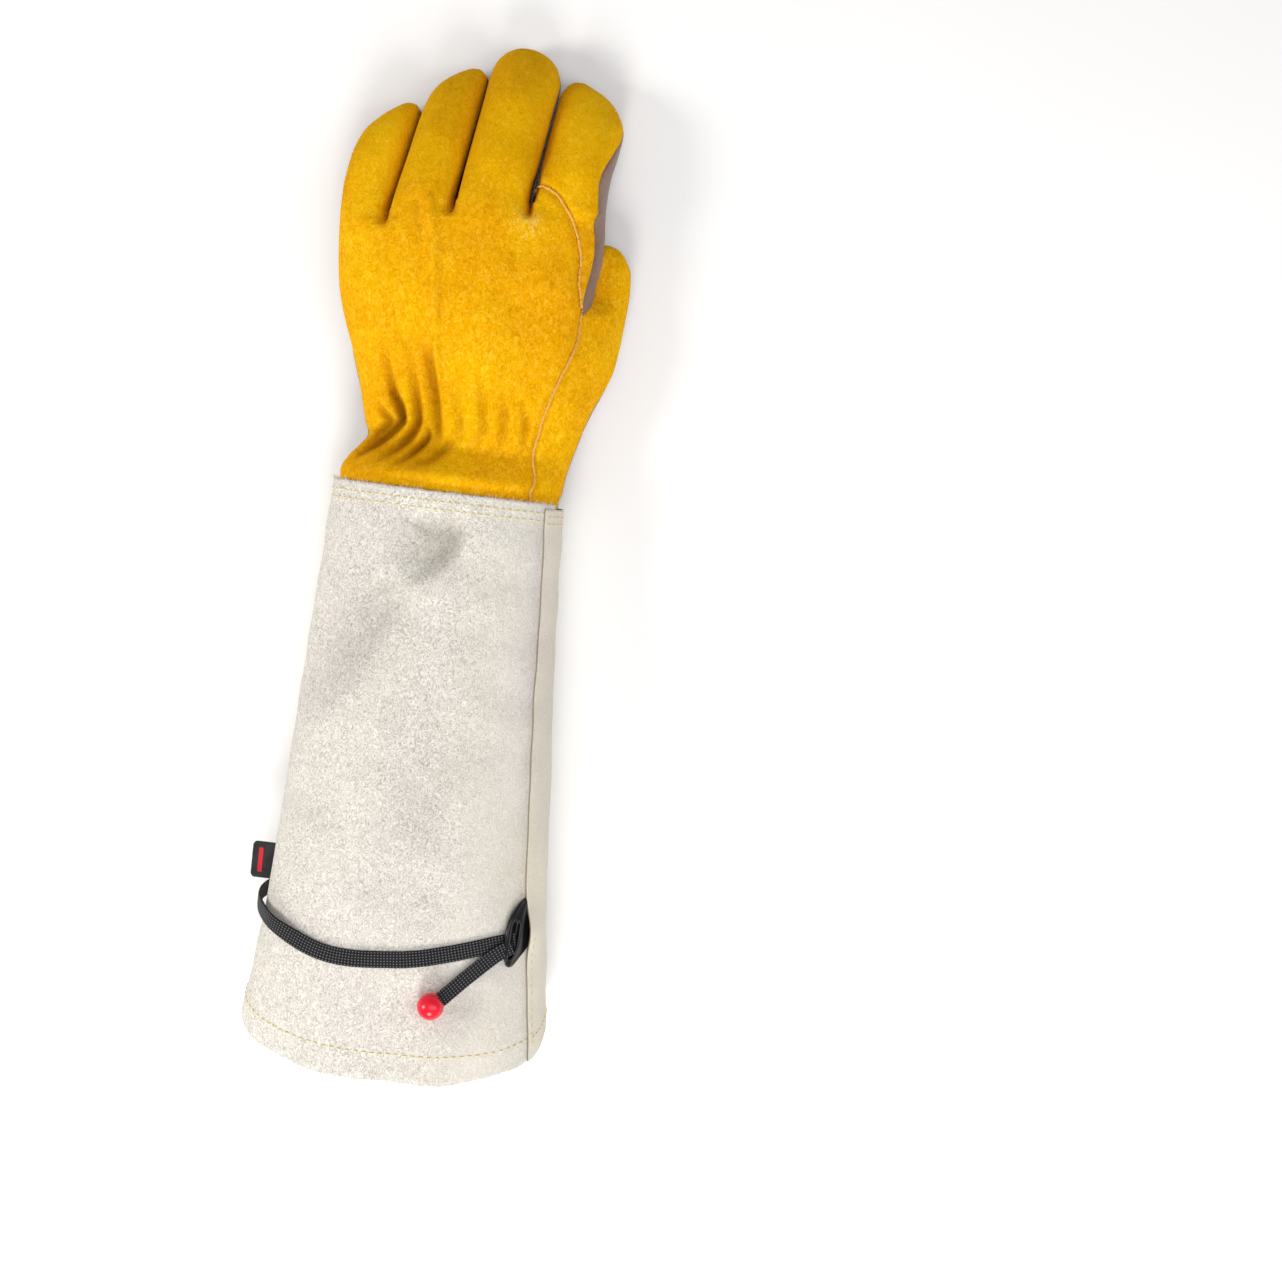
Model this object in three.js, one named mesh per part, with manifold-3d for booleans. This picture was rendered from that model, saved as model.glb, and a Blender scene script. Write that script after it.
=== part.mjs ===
// Long leather gardening gauntlet for the left hand, lying palm down on a flat surface.
// Millimetres. +X is the thumb side, +Y runs towards the fingertips, +Z is up, z = 0 is the surface.
import * as THREE from 'three';
import { mergeVertices } from 'three/addons/utils/BufferGeometryUtils.js';
import Module from 'manifold-3d';

const wasm = await Module();
wasm.setup();

const leatherThickness = 2.0;
const seamGap = 0.32;
const pieceGap = 0.35;
const strapWidth = 8.0;
const strapThickness = 1.5;
const ballRadius = 6.2;
const ballCentreX = 21.5;
const ballCentreY = -106;
const tabThickness = 1.3;
const gatherPitch = 9.0;
const gatherDepth = 1.7;
const topRoundness = 2.35;
const bottomRoundness = 3.2;
const handTopColumns = 32;
// How far the unseen inside may depart from its own curve.
const insideTolerance = 0.4;

// Hand between the cuff and the finger forks. side is the height of the widest line.
const handSections = [
  { y: 113, left: -53.2, right: 51.6, top: 52.0, side: 26.0, bottom: 2.5 },
  { y: 122, left: -53.0, right: 51.2, top: 51.6, side: 26.0, bottom: 2.5 },
  { y: 129, left: -53.3, right: 51.2, top: 51.6, side: 26.0, bottom: 2.5 },
  { y: 134, left: -53.6, right: 52.6, top: 50.2, side: 25.0, bottom: 2.0 },
  { y: 140, left: -51.2, right: 53.2, top: 47.5, side: 24.0, bottom: 1.6 },
  { y: 146, left: -46.5, right: 54.2, top: 44.8, side: 22.5, bottom: 1.4 },
  { y: 152, left: -42.6, right: 55.6, top: 43.0, side: 21.5, bottom: 1.2 },
  { y: 158, left: -44.6, right: 57.2, top: 42.8, side: 21.0, bottom: 1.0 },
  { y: 165, left: -46.4, right: 59.0, top: 43.6, side: 21.0, bottom: -0.4 },
  { y: 173, left: -48.4, right: 60.4, top: 45.0, side: 21.5, bottom: -0.9 },
  { y: 183, left: -51.6, right: 61.2, top: 46.8, side: 22.0, bottom: -1.4 },
  { y: 194, left: -55.2, right: 60.4, top: 48.6, side: 22.5, bottom: -1.4 },
  { y: 206, left: -59.6, right: 58.0, top: 50.0, side: 23.0, bottom: -1.4 },
  { y: 219, left: -63.0, right: 55.8, top: 50.6, side: 23.5, bottom: -0.4 },
  { y: 233, left: -64.8, right: 54.8, top: 50.0, side: 24.0, bottom: 2.6 },
  { y: 246, left: -65.6, right: 55.0, top: 47.0, side: 24.0, bottom: 5.0 },
  { y: 254, left: -65.0, right: 54.6, top: 42.5, side: 24.0, bottom: 8.0 },
  { y: 260, left: -62.5, right: 53.0, top: 33.5, side: 23.0, bottom: 13.0 },
];

// Where the web between two fingers ends, read across the hand.
const forkLine = [
  { x: -70, y: 250 },
  { x: -42, y: 256 },
  { x: -12, y: 264 },
  { x: 23, y: 267 },
  { x: 60, y: 267 },
];

const fingerSections = {
  little: [
    { y: 228, left: -58.0, right: -46.0, top: 34.0, side: 22, bottom: 10.0 },
    { y: 242, left: -63.4, right: -44.6, top: 38.6, side: 22, bottom: 8.0 },
    { y: 254, left: -65.8, right: -42.6, top: 40.4, side: 22, bottom: 7.0 },
    { y: 267, left: -66.0, right: -40.5, top: 39.2, side: 20, bottom: 5.4 },
    { y: 281, left: -64.2, right: -38.3, top: 35.4, side: 17, bottom: 3.4 },
    { y: 292, left: -60.8, right: -36.6, top: 31.2, side: 14, bottom: 1.4 },
    { y: 300, left: -54.5, right: -35.5, top: 27.0, side: 12, bottom: -0.6 },
    { y: 305, left: -48.5, right: -35.6, top: 23.0, side: 11, bottom: 1.4 },
    { y: 308.6, left: -43.5, right: -37.2, top: 17.5, side: 10.5, bottom: 5.0 },
  ],
  ring: [
    { y: 234, left: -40.0, right: -19.0, top: 43.0, side: 25, bottom: 9.0 },
    { y: 248, left: -42.4, right: -15.0, top: 46.2, side: 25, bottom: 9.0 },
    { y: 261, left: -40.7, right: -12.7, top: 45.6, side: 25, bottom: 9.6 },
    { y: 276, left: -38.3, right: -10.8, top: 43.0, side: 23, bottom: 7.6 },
    { y: 291, left: -35.9, right: -8.9, top: 38.8, side: 20, bottom: 4.4 },
    { y: 304, left: -33.8, right: -7.3, top: 33.6, side: 16, bottom: 1.8 },
    { y: 313, left: -31.4, right: -6.2, top: 29.0, side: 13, bottom: -0.5 },
    { y: 320, left: -26.8, right: -5.6, top: 24.8, side: 12, bottom: 1.0 },
    { y: 325.2, left: -20.5, right: -5.6, top: 20.4, side: 11, bottom: 3.2 },
    { y: 328.2, left: -15.5, right: -8.0, top: 16.0, side: 10.5, bottom: 6.4 },
  ],
  middle: [
    { y: 238, left: -11.4, right: 16.5, top: 45.0, side: 26, bottom: 9.0 },
    { y: 250, left: -13.2, right: 20.6, top: 49.0, side: 26, bottom: 9.6 },
    { y: 266, left: -11.2, right: 22.6, top: 47.8, side: 26, bottom: 10.8 },
    { y: 283, left: -9.1, right: 24.5, top: 44.8, side: 25, bottom: 9.2 },
    { y: 299, left: -7.1, right: 26.4, top: 40.4, side: 22, bottom: 6.2 },
    { y: 313, left: -5.4, right: 28.0, top: 34.8, side: 18, bottom: 3.0 },
    { y: 325, left: -4.2, right: 29.2, top: 28.8, side: 14, bottom: -0.4 },
    { y: 332, left: -3.0, right: 27.6, top: 24.4, side: 12, bottom: -0.5 },
    { y: 337, left: 0.6, right: 23.0, top: 19.8, side: 11.5, bottom: 3.2 },
    { y: 340.2, left: 5.6, right: 16.0, top: 15.8, side: 11, bottom: 6.6 },
  ],
  index: [
    { y: 238, left: 25.0, right: 50.0, top: 39.0, side: 24, bottom: 12.0 },
    { y: 251, left: 22.2, right: 54.8, top: 44.0, side: 24, bottom: 10.4 },
    { y: 266, left: 23.4, right: 56.2, top: 44.6, side: 23, bottom: 10.2 },
    { y: 283, left: 25.4, right: 58.0, top: 41.6, side: 21, bottom: 8.4 },
    { y: 297, left: 27.0, right: 60.6, top: 37.2, side: 18, bottom: 5.0 },
    { y: 307, left: 28.2, right: 61.6, top: 32.6, side: 15, bottom: 2.2 },
    { y: 315, left: 29.2, right: 58.6, top: 27.8, side: 13, bottom: -0.5 },
    { y: 321, left: 30.0, right: 53.8, top: 23.4, side: 12, bottom: 1.4 },
    { y: 325.4, left: 31.2, right: 47.0, top: 19.2, side: 11.5, bottom: 4.0 },
    { y: 327.8, left: 34.0, right: 40.5, top: 15.4, side: 11, bottom: 7.0 },
  ],
};

// The thumb lies low beside the palm, its inner edge tucked under the hand.
const thumbSections = [
  { y: 158, left: 34.0, right: 53.0, top: 33.0, side: 18, bottom: 5.0 },
  { y: 172, left: 38.0, right: 60.6, top: 31.0, side: 17, bottom: 3.4 },
  { y: 187, left: 42.0, right: 66.0, top: 29.4, side: 16, bottom: 2.0 },
  { y: 203, left: 44.8, right: 68.8, top: 27.4, side: 15, bottom: 1.0 },
  { y: 219, left: 46.4, right: 71.4, top: 25.2, side: 13.5, bottom: -0.4 },
  { y: 233, left: 47.4, right: 73.6, top: 23.6, side: 12.6, bottom: -0.6 },
  { y: 242, left: 48.6, right: 73.0, top: 22.2, side: 12, bottom: -0.4 },
  { y: 249, left: 51.0, right: 70.0, top: 20.0, side: 11.5, bottom: 2.0 },
  { y: 253.6, left: 54.6, right: 66.0, top: 16.8, side: 11, bottom: 5.2 },
];

// Height at which the yellow back meets the brown palm, at the little-finger side,
// between the fingers and at the index side.
const backEdge = [
  { y: 100, outer: 24, little: 26, between: 26, inner: 24 },
  { y: 150, outer: 21, little: 26, between: 26, inner: 22 },
  { y: 200, outer: 22, little: 28, between: 28, inner: 26 },
  { y: 225, outer: 22, little: 31, between: 32, inner: 29.5 },
  { y: 255, outer: 20, little: 31.5, between: 35, inner: 32.5 },
  { y: 285, outer: 16, little: 25, between: 31, inner: 30.5 },
  { y: 296, outer: 13, little: 18.5, between: 28, inner: 26.5 },
  { y: 305, outer: 11.5, little: 12, between: 24, inner: 21.5 },
  { y: 318, outer: 11, little: 11, between: 17.5, inner: 13.5 },
  { y: 330, outer: 11, little: 11, between: 12, inner: 11.5 },
  { y: 350, outer: 11, little: 11, between: 11.5, inner: 11.5 },
];
const thumbEdge = [
  { y: 140, height: 21 },
  { y: 175, height: 18 },
  { y: 200, height: 15.5 },
  { y: 230, height: 12.8 },
  { y: 262, height: 11 },
];

// Lines between neighbouring fingers, each from its fork to where the two tips part.
const slitLines = {
  littleRing: { forkX: -42.0, forkY: 255, endX: -34.0, endY: 306 },
  ringMiddle: { forkX: -12.2, forkY: 263, endX: -4.2, endY: 327 },
  middleIndex: { forkX: 23.0, forkY: 266, endX: 30.0, endY: 327 },
};
const sideWallHeight = 13.0;

// Seam round the index back, then down the thumb side to the cuff.
const indexSeam = [
  { x: 23.2, y: 268 },
  { x: 26.0, y: 273 },
  { x: 31.0, y: 273 },
  { x: 36.0, y: 270 },
  { x: 44.0, y: 261 },
  { x: 49.0, y: 248 },
  { x: 51.0, y: 235 },
  { x: 53.0, y: 222 },
];
const thumbSeam = [
  { x: 53.0, y: 222 },
  { x: 52.0, y: 205 },
  { x: 46.0, y: 187 },
  { x: 42.0, y: 174 },
  { x: 38.5, y: 158 },
  { x: 38.0, y: 149 },
  { x: 40.0, y: 140 },
  { x: 39.0, y: 133 },
  { x: 38.5, y: 105 },
];

// Gauntlet. bow is how far the middle of the top is moved back along Y, which gives the bowed hem.
const cuffSections = [
  { y: 129.5, left: -56.0, right: 54.0, top: 54.4, side: 26.0, bottom: -2.0, bow: 0 },
  { y: 121, left: -56.2, right: 54.3, top: 54.6, side: 26.0, bottom: -2.0, bow: 0 },
  { y: 109, left: -57.0, right: 55.0, top: 55.2, side: 26.0, bottom: -2.0, bow: 0 },
  { y: 90, left: -58.0, right: 56.0, top: 56.8, side: 26.6, bottom: -2.0, bow: 0 },
  { y: 70, left: -59.2, right: 57.2, top: 58.4, side: 27.4, bottom: -2.0, bow: 0 },
  { y: 50, left: -60.2, right: 58.6, top: 60.2, side: 28.2, bottom: -2.0, bow: 0 },
  { y: 31, left: -61.2, right: 59.8, top: 62.0, side: 29.0, bottom: -2.0, bow: 0 },
  { y: 10, left: -62.2, right: 61.8, top: 64.0, side: 30.0, bottom: -2.0, bow: 0 },
  { y: -10, left: -63.0, right: 63.6, top: 66.0, side: 31.0, bottom: -2.0, bow: 0 },
  { y: -30, left: -63.8, right: 65.2, top: 68.0, side: 32.0, bottom: -2.0, bow: 0 },
  { y: -50, left: -64.6, right: 67.0, top: 69.8, side: 33.0, bottom: -2.0, bow: 0 },
  { y: -62, left: -65.2, right: 68.2, top: 70.8, side: 33.6, bottom: -2.0, bow: 0.4 },
  { y: -69, left: -65.6, right: 69.0, top: 71.4, side: 34.0, bottom: -2.0, bow: 0.9 },
  { y: -75.5, left: -66.2, right: 69.8, top: 72.0, side: 34.3, bottom: -2.0, bow: 1.6 },
  { y: -82, left: -67.0, right: 70.5, top: 72.8, side: 34.6, bottom: -2.0, bow: 2.6 },
  { y: -90, left: -67.8, right: 71.3, top: 73.8, side: 35.0, bottom: -2.0, bow: 4.2 },
  { y: -100, left: -68.9, right: 72.2, top: 75.0, side: 35.4, bottom: -2.0, bow: 6.4 },
  { y: -110, left: -70.1, right: 73.2, top: 76.0, side: 35.7, bottom: -2.0, bow: 9.2 },
  { y: -120, left: -71.4, right: 74.3, top: 77.0, side: 36.0, bottom: -2.0, bow: 12.4 },
  { y: -129.5, left: -72.6, right: 75.2, top: 77.8, side: 36.0, bottom: -2.0, bow: 16.0 },
];
const hemUndersideBow = 0.45;

// Soft hollows in the top of the gauntlet.
const cuffDents = [
  { fromX: 0, fromY: 108, toX: -16, toY: 84, depth: 3.4, radius: 11 },
  { fromX: -16, fromY: 84, toX: -46, toY: 34, depth: 1.9, radius: 13 },
  { fromX: 30, fromY: 20, toX: 8, toY: -24, depth: 1.3, radius: 15 },
  { fromX: -38, fromY: -8, toX: -50, toY: -40, depth: 1.5, radius: 14 },
  { fromX: 34, fromY: -100, toX: 16, toY: -128, depth: 1.4, radius: 12 },
];

// Line where the side band meets the main panel on the top of the gauntlet.
const bandLine = [
  { y: 140, x: 46.2 },
  { y: 122, x: 46.2 },
  { y: 67, x: 49.6 },
  { y: 29, x: 51.6 },
  { y: -24, x: 55.6 },
  { y: -57, x: 58.4 },
  { y: -84, x: 61.4 },
  { y: -119, x: 66.5 },
  { y: -160, x: 72.0 },
];

// Centre of the strap, first over the gauntlet, then round its sides. lift is its slack above the leather.
const strapOver = [
  { x: 56.6, y: -75.6, lift: 0 },
  { x: 50.0, y: -76.8, lift: 0.2 },
  { x: 42.0, y: -78.8, lift: 0.4 },
  { x: 32.0, y: -81.8, lift: 0 },
  { x: 16.0, y: -85.6, lift: 0 },
  { x: 1.0, y: -88.0, lift: 0 },
  { x: -14.0, y: -89.4, lift: 0 },
  { x: -28.0, y: -89.4, lift: 0 },
  { x: -38.0, y: -87.6, lift: 0.2 },
  { x: -47.0, y: -84.6, lift: 0.6 },
];
const strapAround = [
  { x: -56.5, y: -81.0, z: 63.2 },
  { x: -64.0, y: -78.6, z: 53.6 },
  { x: -69.0, y: -77.2, z: 42.0 },
  { x: -70.4, y: -76.2, z: 31.0 },
  { x: -68.4, y: -76.0, z: 18.0 },
  { x: -62.6, y: -76.0, z: 8.2 },
  { x: -52.0, y: -76.0, z: 2.9 },
  { x: -40.0, y: -76.0, z: 0.95 },
  { x: 0.0, y: -76.0, z: 0.85 },
  { x: 40.0, y: -76.0, z: 0.95 },
  { x: 52.0, y: -76.0, z: 2.7 },
  { x: 58.4, y: -76.0, z: 6.2 },
  { x: 62.6, y: -76.0, z: 13.2 },
  { x: 65.4, y: -76.0, z: 22.0 },
  { x: 66.6, y: -76.0, z: 34.0 },
  { x: 65.4, y: -76.0, z: 46.0 },
  { x: 62.8, y: -76.0, z: 55.0 },
];
const tailLine = [
  { x: 54.4, y: -78.0, lift: 2.3 },
  { x: 49.0, y: -81.4, lift: 2.3 },
  { x: 43.0, y: -87.0, lift: 1.6 },
  { x: 36.5, y: -93.2, lift: 1.2 },
  { x: 30.0, y: -99.0, lift: 2.6 },
  { x: 24.4, y: -103.6, lift: 5.2 },
  { x: 22.2, y: -105.4, lift: 5.6 },
];

// Half outline of the slider buckle: its reach towards the strap from the band seam.
const buckleOutline = [
  { y: -57.0, reach: 1.2, rise: 1.6 },
  { y: -61.0, reach: 3.4, rise: 3.2 },
  { y: -65.5, reach: 6.2, rise: 4.6 },
  { y: -70.5, reach: 8.2, rise: 5.4 },
  { y: -75.5, reach: 9.2, rise: 5.6 },
  { y: -80.5, reach: 8.6, rise: 5.2 },
  { y: -85.0, reach: 6.2, rise: 4.0 },
  { y: -89.0, reach: 2.0, rise: 1.8 },
];
const buckleSlot = { fromY: -66.5, toY: -83.0, from: 2.6, to: 5.4 };

const labelTab = { left: -75.8, right: -66.1, front: -67.6, back: -49.6, height: 36, corner: 2.0 };

function interpolate(rows, key, value, column) {
  const ordered = rows[0][key] <= rows[rows.length - 1][key] ? rows : [...rows].reverse();
  if (value <= ordered[0][key]) return ordered[0][column];
  for (let i = 1; i < ordered.length; i += 1) {
    const low = ordered[i - 1];
    const high = ordered[i];
    if (value <= high[key]) {
      const t = (value - low[key]) / (high[key] - low[key]);
      return low[column] + (high[column] - low[column]) * t;
    }
  }
  return ordered[ordered.length - 1][column];
}

function solidFrom(positions, triangles) {
  const mesh = new wasm.Mesh({
    numProp: 3,
    vertProperties: new Float32Array(positions),
    triVerts: new Uint32Array(triangles),
  });
  mesh.merge();
  return new wasm.Manifold(mesh);
}

function solidFromGeometry(geometry) {
  const bare = new THREE.BufferGeometry();
  bare.setAttribute('position', geometry.getAttribute('position').clone());
  if (geometry.index) bare.setIndex(geometry.index.clone());
  const welded = mergeVertices(bare, 1e-4);
  return solidFrom(welded.getAttribute('position').array, welded.index.array);
}

// Angles round a section, anticlockwise seen from the wrist, denser over the top.
function sectionAngles(topCount, bottomCount) {
  const angles = [];
  for (let i = 0; i < topCount; i += 1) angles.push((Math.PI * i) / topCount);
  for (let i = 0; i < bottomCount; i += 1) angles.push(Math.PI + (Math.PI * i) / bottomCount);
  return angles;
}

// floor is the lowest height: leather that rests on the surface lies flat on it.
function sectionPoint(section, angle, floor) {
  const cosine = Math.cos(angle);
  const sine = Math.sin(angle);
  const power = 2 / (sine >= 0 ? topRoundness : bottomRoundness);
  const middle = (section.left + section.right) / 2;
  const half = (section.right - section.left) / 2;
  const x = middle + half * Math.sign(cosine) * Math.abs(cosine) ** power;
  const height = sine >= 0 ? section.top - section.side : section.side - section.bottom;
  const z = section.side + height * Math.sign(sine) * Math.abs(sine) ** power;
  return { x, y: section.y, z: Math.max(floor, z) };
}

// Closed skin through a list of rings, each end closed by a fan.
function solidFromRings(rings) {
  const count = rings[0].length;
  const positions = [];
  const triangles = [];
  for (const ring of rings) for (const p of ring) positions.push(p.x, p.y, p.z);
  for (let r = 0; r + 1 < rings.length; r += 1) {
    for (let k = 0; k < count; k += 1) {
      const a = r * count + k;
      const b = r * count + ((k + 1) % count);
      triangles.push(a, b, b + count, a, b + count, a + count);
    }
  }
  for (const [r, flip] of [[0, false], [rings.length - 1, true]]) {
    const ring = rings[r];
    const centre = positions.length / 3;
    const sum = ring.reduce((s, p) => ({ x: s.x + p.x, y: s.y + p.y, z: s.z + p.z }), { x: 0, y: 0, z: 0 });
    positions.push(sum.x / count, sum.y / count, sum.z / count);
    for (let k = 0; k < count; k += 1) {
      const a = r * count + k;
      const b = r * count + ((k + 1) % count);
      if (flip) triangles.push(a, b, centre);
      else triangles.push(b, a, centre);
    }
  }
  const solid = solidFrom(positions, triangles);
  if (solid.volume() > 0) return solid;
  const turned = [];
  for (let i = 0; i < triangles.length; i += 3) {
    turned.push(triangles[i], triangles[i + 2], triangles[i + 1]);
  }
  return solidFrom(positions, turned);
}

function insetSections(sections, inset, startShift, endShift) {
  const last = sections.length - 1;
  const rows = sections.map((s, i) => ({
    ...s,
    y: s.y + (i === 0 ? startShift : 0) + endShift * Math.max(0, (i / last - 0.6) / 0.4),
    left: s.left + inset,
    right: s.right - inset,
    top: s.top - inset,
    bottom: s.bottom + inset,
  }));
  return rows.filter((s) => s.right - s.left > 2.6 && s.top - s.bottom > 4.2);
}

// Puckers pressed in at the wrist: upright above the gather line, leaning outwards below it.
function gatherHeight(x, y) {
  const gatherLine = 157 - 0.06 * x;
  const lean = y < gatherLine ? 0.8 * (gatherLine - y) : 0.08 * (gatherLine - y);
  const wave = Math.cos((2 * Math.PI * (x + lean + 2)) / gatherPitch);
  const reach = y < gatherLine ? 11 : 15;
  const along = Math.exp(-(((y - gatherLine) / reach) ** 2));
  const across = 1 / (1 + Math.exp((x - 30) / 4));
  return gatherDepth * along * wave * across * (y > 132 ? 1 : 0);
}

function handRings(sections, topCount, bottomCount, forkShift, inset) {
  const angles = sectionAngles(topCount, bottomCount);
  return sections.map((s) => angles.map((angle) => {
    const p = sectionPoint(s, angle, inset);
    const stretch = Math.max(0, (s.y - 225) / 35);
    const forkY = interpolate(forkLine, 'x', p.x, 'y') + forkShift;
    const y = p.y + Math.min(1, stretch) * (forkY - 260);
    const outerX = p.x + inset * Math.cos(angle);
    const lifted = Math.sin(angle) > 0 ? gatherHeight(outerX, y) * Math.min(1, 3 * Math.sin(angle)) : 0;
    return { x: p.x, y, z: p.z + lifted };
  }));
}

function tubeRings(sections, topCount, bottomCount, inset) {
  const angles = sectionAngles(topCount, bottomCount);
  return sections.map((s) => angles.map((angle) => sectionPoint(s, angle, inset)));
}

function dentDepth(x, y) {
  let depth = 0;
  for (const dent of cuffDents) {
    const runX = dent.toX - dent.fromX;
    const runY = dent.toY - dent.fromY;
    const t = ((x - dent.fromX) * runX + (y - dent.fromY) * runY) / (runX * runX + runY * runY);
    const s = Math.min(1, Math.max(0, t));
    const away = Math.hypot(x - dent.fromX - s * runX, y - dent.fromY - s * runY);
    depth += dent.depth * Math.exp(-((away / dent.radius) ** 2));
  }
  return depth * Math.min(1, Math.max(0, (112 - y) / 8));
}

// Underside of the gauntlet is drawn in a little where the strap passes below it.
const strapUnderY = -76;
const strapChannel = strapThickness + 2 * pieceGap + 0.1;

function cuffPoint(section, angle, floor) {
  const p = sectionPoint(section, angle, floor);
  const sine = Math.sin(angle);
  const bow = section.bow * (sine > 0 ? sine ** 1.2 : hemUndersideBow * (-sine) ** 1.2);
  const y = p.y - bow;
  let z = p.z;
  if (sine > 0) z -= dentDepth(p.x, y) * Math.min(1, 2.2 * sine);
  else {
    const fall = Math.max(0, 1 - Math.max(0, Math.abs(section.y - strapUnderY) - 6.6) / 5);
    z += strapChannel * fall * Math.min(1, 3 * -sine);
  }
  return { x: p.x, y, z };
}

function cuffRings(inset, startShift, endShift) {
  const last = cuffSections.length - 1;
  const angles = sectionAngles(17, 10);
  return cuffSections.map((s, i) => {
    const row = {
      ...s,
      left: s.left + inset,
      right: s.right - inset,
      top: s.top - inset,
      bottom: s.bottom + inset,
    };
    const shift = (i === 0 ? startShift : 0) + (i === last ? endShift : 0);
    return angles.map((angle) => {
      const p = cuffPoint(row, angle, inset);
      return { x: p.x, y: p.y + shift, z: p.z };
    });
  });
}

// Solid between two height functions over lines of y, each with its own list of x.
function sheetSolid(columnsAt, ys, lowHeight, highHeight) {
  const positions = [];
  const triangles = [];
  const columns = columnsAt(ys[0]).length;
  const rows = ys.length;
  const layer = columns * rows;
  for (const height of [lowHeight, highHeight]) {
    for (const y of ys) for (const x of columnsAt(y)) positions.push(x, y, height(x, y));
  }
  for (let r = 0; r + 1 < rows; r += 1) {
    for (let c = 0; c + 1 < columns; c += 1) {
      const a = r * columns + c;
      const b = a + 1;
      const d = a + columns;
      const e = d + 1;
      triangles.push(a, e, b, a, d, e);
      triangles.push(a + layer, b + layer, e + layer, a + layer, e + layer, d + layer);
    }
  }
  const border = [];
  for (let c = 0; c < columns; c += 1) border.push(c);
  for (let r = 1; r < rows; r += 1) border.push(r * columns + columns - 1);
  for (let c = columns - 2; c >= 0; c -= 1) border.push((rows - 1) * columns + c);
  for (let r = rows - 2; r > 0; r -= 1) border.push(r * columns);
  for (let i = 0; i < border.length; i += 1) {
    const a = border[i];
    const b = border[(i + 1) % border.length];
    triangles.push(a, b, b + layer, a, b + layer, a + layer);
  }
  return solidFrom(positions, triangles);
}

// Upright solid over a plan outline.
function prism(points, low, high) {
  const shape = new THREE.Shape(points.map((p) => new THREE.Vector2(p.x, p.y)));
  const geometry = new THREE.ExtrudeGeometry(shape, { depth: high - low, bevelEnabled: false, steps: 1 });
  geometry.translate(0, 0, low);
  return solidFromGeometry(geometry);
}

function shiftedLine(points, distance) {
  return points.map((p, i) => {
    const before = points[Math.max(0, i - 1)];
    const after = points[Math.min(points.length - 1, i + 1)];
    const run = Math.hypot(after.x - before.x, after.y - before.y);
    return {
      x: p.x + (distance * (after.y - before.y)) / run,
      y: p.y - (distance * (after.x - before.x)) / run,
    };
  });
}

function slitX(slit, y) {
  const t = (y - slit.forkY) / (slit.endY - slit.forkY);
  return slit.forkX + (slit.endX - slit.forkX) * t;
}

// Columns of the plan grid: each x with the height of the back edge there.
function backEdgeColumns(y) {
  const at = (column) => interpolate(backEdge, 'y', y, column);
  const firstSlit = slitX(slitLines.littleRing, Math.max(240, y));
  return [
    { x: -110, z: at('outer') },
    { x: -58, z: at('outer') },
    { x: -50, z: at('little') },
    { x: firstSlit - 0.4, z: at('little') },
    { x: firstSlit + 0.4, z: at('between') },
    { x: 38, z: at('between') },
    { x: 48, z: at('inner') },
    { x: 110, z: at('inner') },
  ];
}
function backEdgeHeight(x, y) {
  return interpolate(backEdgeColumns(y), 'x', x, 'z');
}
const planY = [90, 100, 150, 200, 225, 240, 255, 285, 296, 305, 318, 330, 350, 370];
const planX = (y) => backEdgeColumns(y).map((column) => column.x);

// Hollow skin of the hand and fingers.
const handOuter = solidFromRings(handRings(handSections, handTopColumns, 10, 0, 0));
const handInner = solidFromRings(handRings(
  insetSections(handSections, leatherThickness, -6, -leatherThickness),
  handTopColumns,
  6,
  -leatherThickness,
  leatherThickness,
));
let skin = handOuter;
let hollow = handInner;
for (const sections of Object.values(fingerSections)) {
  skin = skin.add(solidFromRings(tubeRings(sections, 10, 8, 0)));
  const inner = insetSections(sections, leatherThickness, 0, -leatherThickness);
  hollow = hollow.add(solidFromRings(tubeRings(inner, 6, 5, leatherThickness)));
}
const thumbOuter = solidFromRings(tubeRings(thumbSections, 10, 8, 0));
const thumbInner = solidFromRings(tubeRings(
  insetSections(thumbSections, leatherThickness, 0, -leatherThickness),
  7,
  5,
  leatherThickness,
));
const thumbRoom = solidFromRings(tubeRings(insetSections(thumbSections, -pieceGap, 0, pieceGap), 10, 8, -2));
hollow = hollow.simplify(insideTolerance);
const handShell = skin.subtract(hollow).subtract(thumbInner);
const thumbShell = thumbOuter.subtract(thumbInner).subtract(hollow);

const aboveBackEdge = sheetSolid(planX, planY, (x, y) => backEdgeHeight(x, y) + seamGap / 2, () => 120);
const belowBackEdge = sheetSolid(planX, planY, () => -20, (x, y) => backEdgeHeight(x, y) - seamGap / 2);
const thumbPlanY = [130, 140, 175, 200, 230, 262, 290];
const thumbEdgeHeight = (y) => interpolate(thumbEdge, 'y', y, 'height');
const thumbSheet = (low, high) => sheetSolid(() => [0, 110], thumbPlanY, low, high);
const aboveThumbEdge = thumbSheet((x, y) => thumbEdgeHeight(y) + seamGap / 2, () => 90);
const belowThumbEdge = thumbSheet(() => -20, (x, y) => thumbEdgeHeight(y) - seamGap / 2);
const roomAboveThumbEdge = thumbSheet((x, y) => thumbEdgeHeight(y) - seamGap / 2, () => 90);

const upperLeather = handShell.intersect(aboveBackEdge);
const lowerLeather = handShell.intersect(belowBackEdge);

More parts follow.
